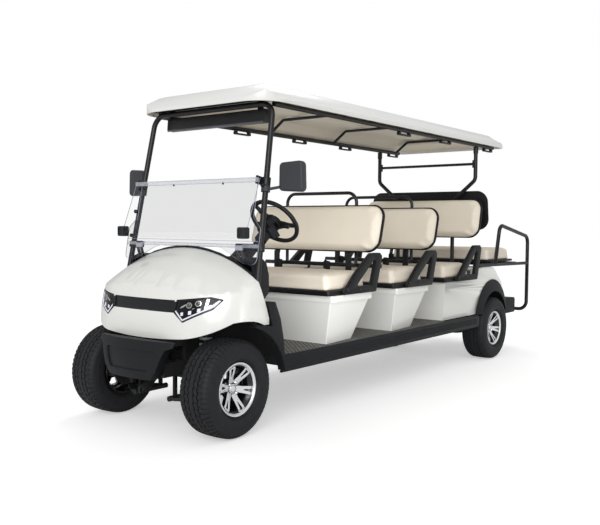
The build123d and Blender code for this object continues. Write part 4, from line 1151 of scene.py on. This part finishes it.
def wheel_wing(bearing):
    """One winged spoke, sinking towards the hub."""
    wing = pushed(plate("wing", [Vector((x, y, -12)) * MM for x, y in WING_OUTLINE]), (0, 0, 12))
    bevelled(wing, 4, 3, 40)
    for vert in wing.data.vertices:
        vert.co.z -= 14 * MM * max(0.0, 1 - vert.co.y / (140 * MM))
    return moved(wing, Matrix.Rotation(-math.radians(bearing), 4, "Z"))


def hub_pad():
    """The hub pad, with a raised face."""
    pad = primitive("pad", "cylinder", vertices=40, radius=50 * MM, depth=34 * MM, location=(0, 0, -14 * MM))
    raised(pad, lambda place, normal: normal.z > 0.9, 8, (0, 0, 5))
    return bevelled(pad, 3, 3, 40)


def steering_wheel():
    """A soft three-spoke wheel on its shaft."""
    shaft = turned("shaft", [(-90, POLE), (-90, 11), (-20, 11), (-20, POLE)], 24,
                   Matrix.Rotation(-math.pi / 2, 4, "Y"))
    parts = [wheel_grip(), *[wheel_wing(bearing) for bearing in SPOKE_BEARINGS], hub_pad(), shaft]
    wheel = moved(smooth(joined("soft_steering_wheel", parts), 45), WHEEL_PLACE)
    fitted(coated(wheel, WHEEL_SOFT), "steering_wheel", "trim_plastic", "steering_wheel")


def column_pod():
    """The switch pod on the column with its key box, and the knob on the stalk."""
    pod = block("pod", Vector((-62, -58, -118)) * MM, Vector((66, 62, -66)) * MM)
    for vert in pod.data.vertices:
        if vert.co.z < -100 * MM:
            vert.co.x *= 0.7
            vert.co.y *= 0.62
    bevelled(pod, 12, 4)
    key_box = bevelled(block("key_box", Vector((4, 40, -112)) * MM, Vector((66, 92, -40)) * MM), 8)
    whole = moved(smooth(joined("column_switch_pod", [pod, key_box]), 45), WHEEL_PLACE)
    fitted(coated(whole, PLASTIC), "cart", "trim_plastic")
    knob = turned("stalk_knob", [(-12, POLE), (-12, 7), (-6, 10), (10, 11), (16, 8), (18, POLE)], 20,
                  Matrix.Translation(spot(424, -1267, 1104)))
    fitted(coated(smooth(knob, 45), GLOSS_BLACK), "cart", "trim_plastic")


def dash_lip():
    """The soft dash lip that stands along the rear edge of the hood."""
    run = [(-x, z) for x, z in reversed(DASH_CREST[1:])] + DASH_CREST
    lip = bent_bar("dash_lip", [spot(x, -1652, z + 1) for x, z in run], 11, 6)
    fitted(coated(lip, PLASTIC), "cart", "trim_plastic")


steering_wheel()
column_pod()
dash_lip()


# ---------------- trim and fittings
BENCH_ROWS = (-1011, -248, 515)
MIRROR_PLACE = Matrix.Translation(spot(626, -1478, 1376)) @ Matrix.Rotation(math.radians(10), 4, "Z")
MIRROR_OUTLINE = [(-62, -64), (-60, 64), (60, 73), (65, -72)]
COIL_PLACE = spot(300, -1800, 0)
COIL_RADII = (26, 46)
COIL_HEIGHTS = (366, 556)
TAIL_TOP = 842
TAIL_LIE = 826
STALK_MIDDLE = 800
STALK_LEAN = 0.22
MAT_FRONT = -1470


def mirror_glass():
    """Silvered glass sunk in the back of each mirror head."""
    face = plate("mirror_glass_left", [Vector((x, 23, z)) * MM for x, z in MIRROR_OUTLINE], 16)
    both_sides(moved(pushed(face, (0, -3, 0)), MIRROR_PLACE), MIRROR_SILVER, "trim_plastic")


def on_coil(place, normal):
    """Whether a face belongs to one of the front coil springs."""
    off = math.hypot(abs(place.x) - COIL_PLACE.x, place.y - COIL_PLACE.y) / MM
    return COIL_RADII[0] < off < COIL_RADII[1] and COIL_HEIGHTS[0] < place.z / MM < COIL_HEIGHTS[1]


def belt_tail(x, row):
    """A flat webbing tail that hangs over the back of a cushion and lies on it."""
    tail = bent_bar("tail", [spot(x - 150, row + 452, TAIL_TOP), spot(x - 148, row + 440, 828),
                             spot(x - 140, row + 400, TAIL_LIE), spot(x - 128, row + 352, 825)], 9, 6)
    for vert in tail.data.vertices:
        if vert.co.z < TAIL_TOP * MM:
            vert.co.z = TAIL_LIE * MM + (vert.co.z - TAIL_LIE * MM) * 0.35
    return tail


def belts():
    """A lap-belt buckle on a stiff stalk, and a webbing tail, at two places on each bench."""
    for number, row in enumerate(BENCH_ROWS, 1):
        for side, x in (("left", 205), ("right", -205)):
            stalk = brick("stalk", (x - 4, row + 446, 742), (x + 28, row + 458, 838), 3)
            for vert in stalk.data.vertices:
                vert.co.x -= (vert.co.z - STALK_MIDDLE * MM) * STALK_LEAN
            buckle = brick("buckle", (x - 24, row + 438, 826), (x + 20, row + 466, 878), 7)
            button = brick("button", (x - 14, row + 435, 860), (x + 10, row + 450, 881), 3)
            belt = joined(f"belt_{number}_{side}", [stalk, buckle, button, belt_tail(x, row)])
            fitted(coated(smooth(belt), BELT_WEB), "cart", "trim_plastic")


def overhead_highlight():
    """A grey strip along the overhead bar's lower edge: a painted highlight."""
    # The strip's grey is a painted highlight along the bar's lower edge.
    edge = brick("overhead_bar_highlight", (-386, -1446, 1686), (386, -1436, 1697), 2.5)
    fitted(coated(edge, BAR_HIGHLIGHT_STRIP), "cart", "tube_black")


def bolt(place, facing, radius):
    """A domed bolt on its washer, pointing along facing."""
    profile = [(-3, POLE), (-3, radius * 1.5), (1.6, radius * 1.5), (1.6, radius), (4.5, radius * 0.9),
               (6.5, radius * 0.55), (7, POLE)]
    turn = Vector((1, 0, 0)).rotation_difference(Vector(facing)).to_matrix().to_4x4()
    return smooth(turned("bolt", profile, 18, Matrix.Translation(place) @ turn))


def bolts():
    """Dark bolts through the armrest feet, and a latch under each bench's front edge."""
    feet = [bolt(spot(578, row + y, 724), (1, 0, 0), 5) for row in BENCH_ROWS for y in (150, 290)]
    both_sides(joined("armrest_bolts_left", feet), GLOSS_BLACK, "trim_plastic")
    latches = [bolt(spot(300, row + 25, 712), (0, -1, 0), 7) for row in BENCH_ROWS]
    both_sides(joined("seat_latches_left", latches), GLOSS_BLACK, "trim_plastic")


mirror_glass()
painted(dressed("front_suspension", CHASSIS, "frame_black"), SPRING_GREY, on_coil)
belts()
overhead_highlight()
bolts()
painted(dressed("roof_panel", ROOF, "roof_gel", 2.0), LINER, lambda place, normal: normal.z < -0.35)
painted(dressed("floor_panel", CHASSIS, "floor_mat", 1.0), MAT,
        lambda place, normal: normal.z > 0.9 and off_datum(place).y > MAT_FRONT)
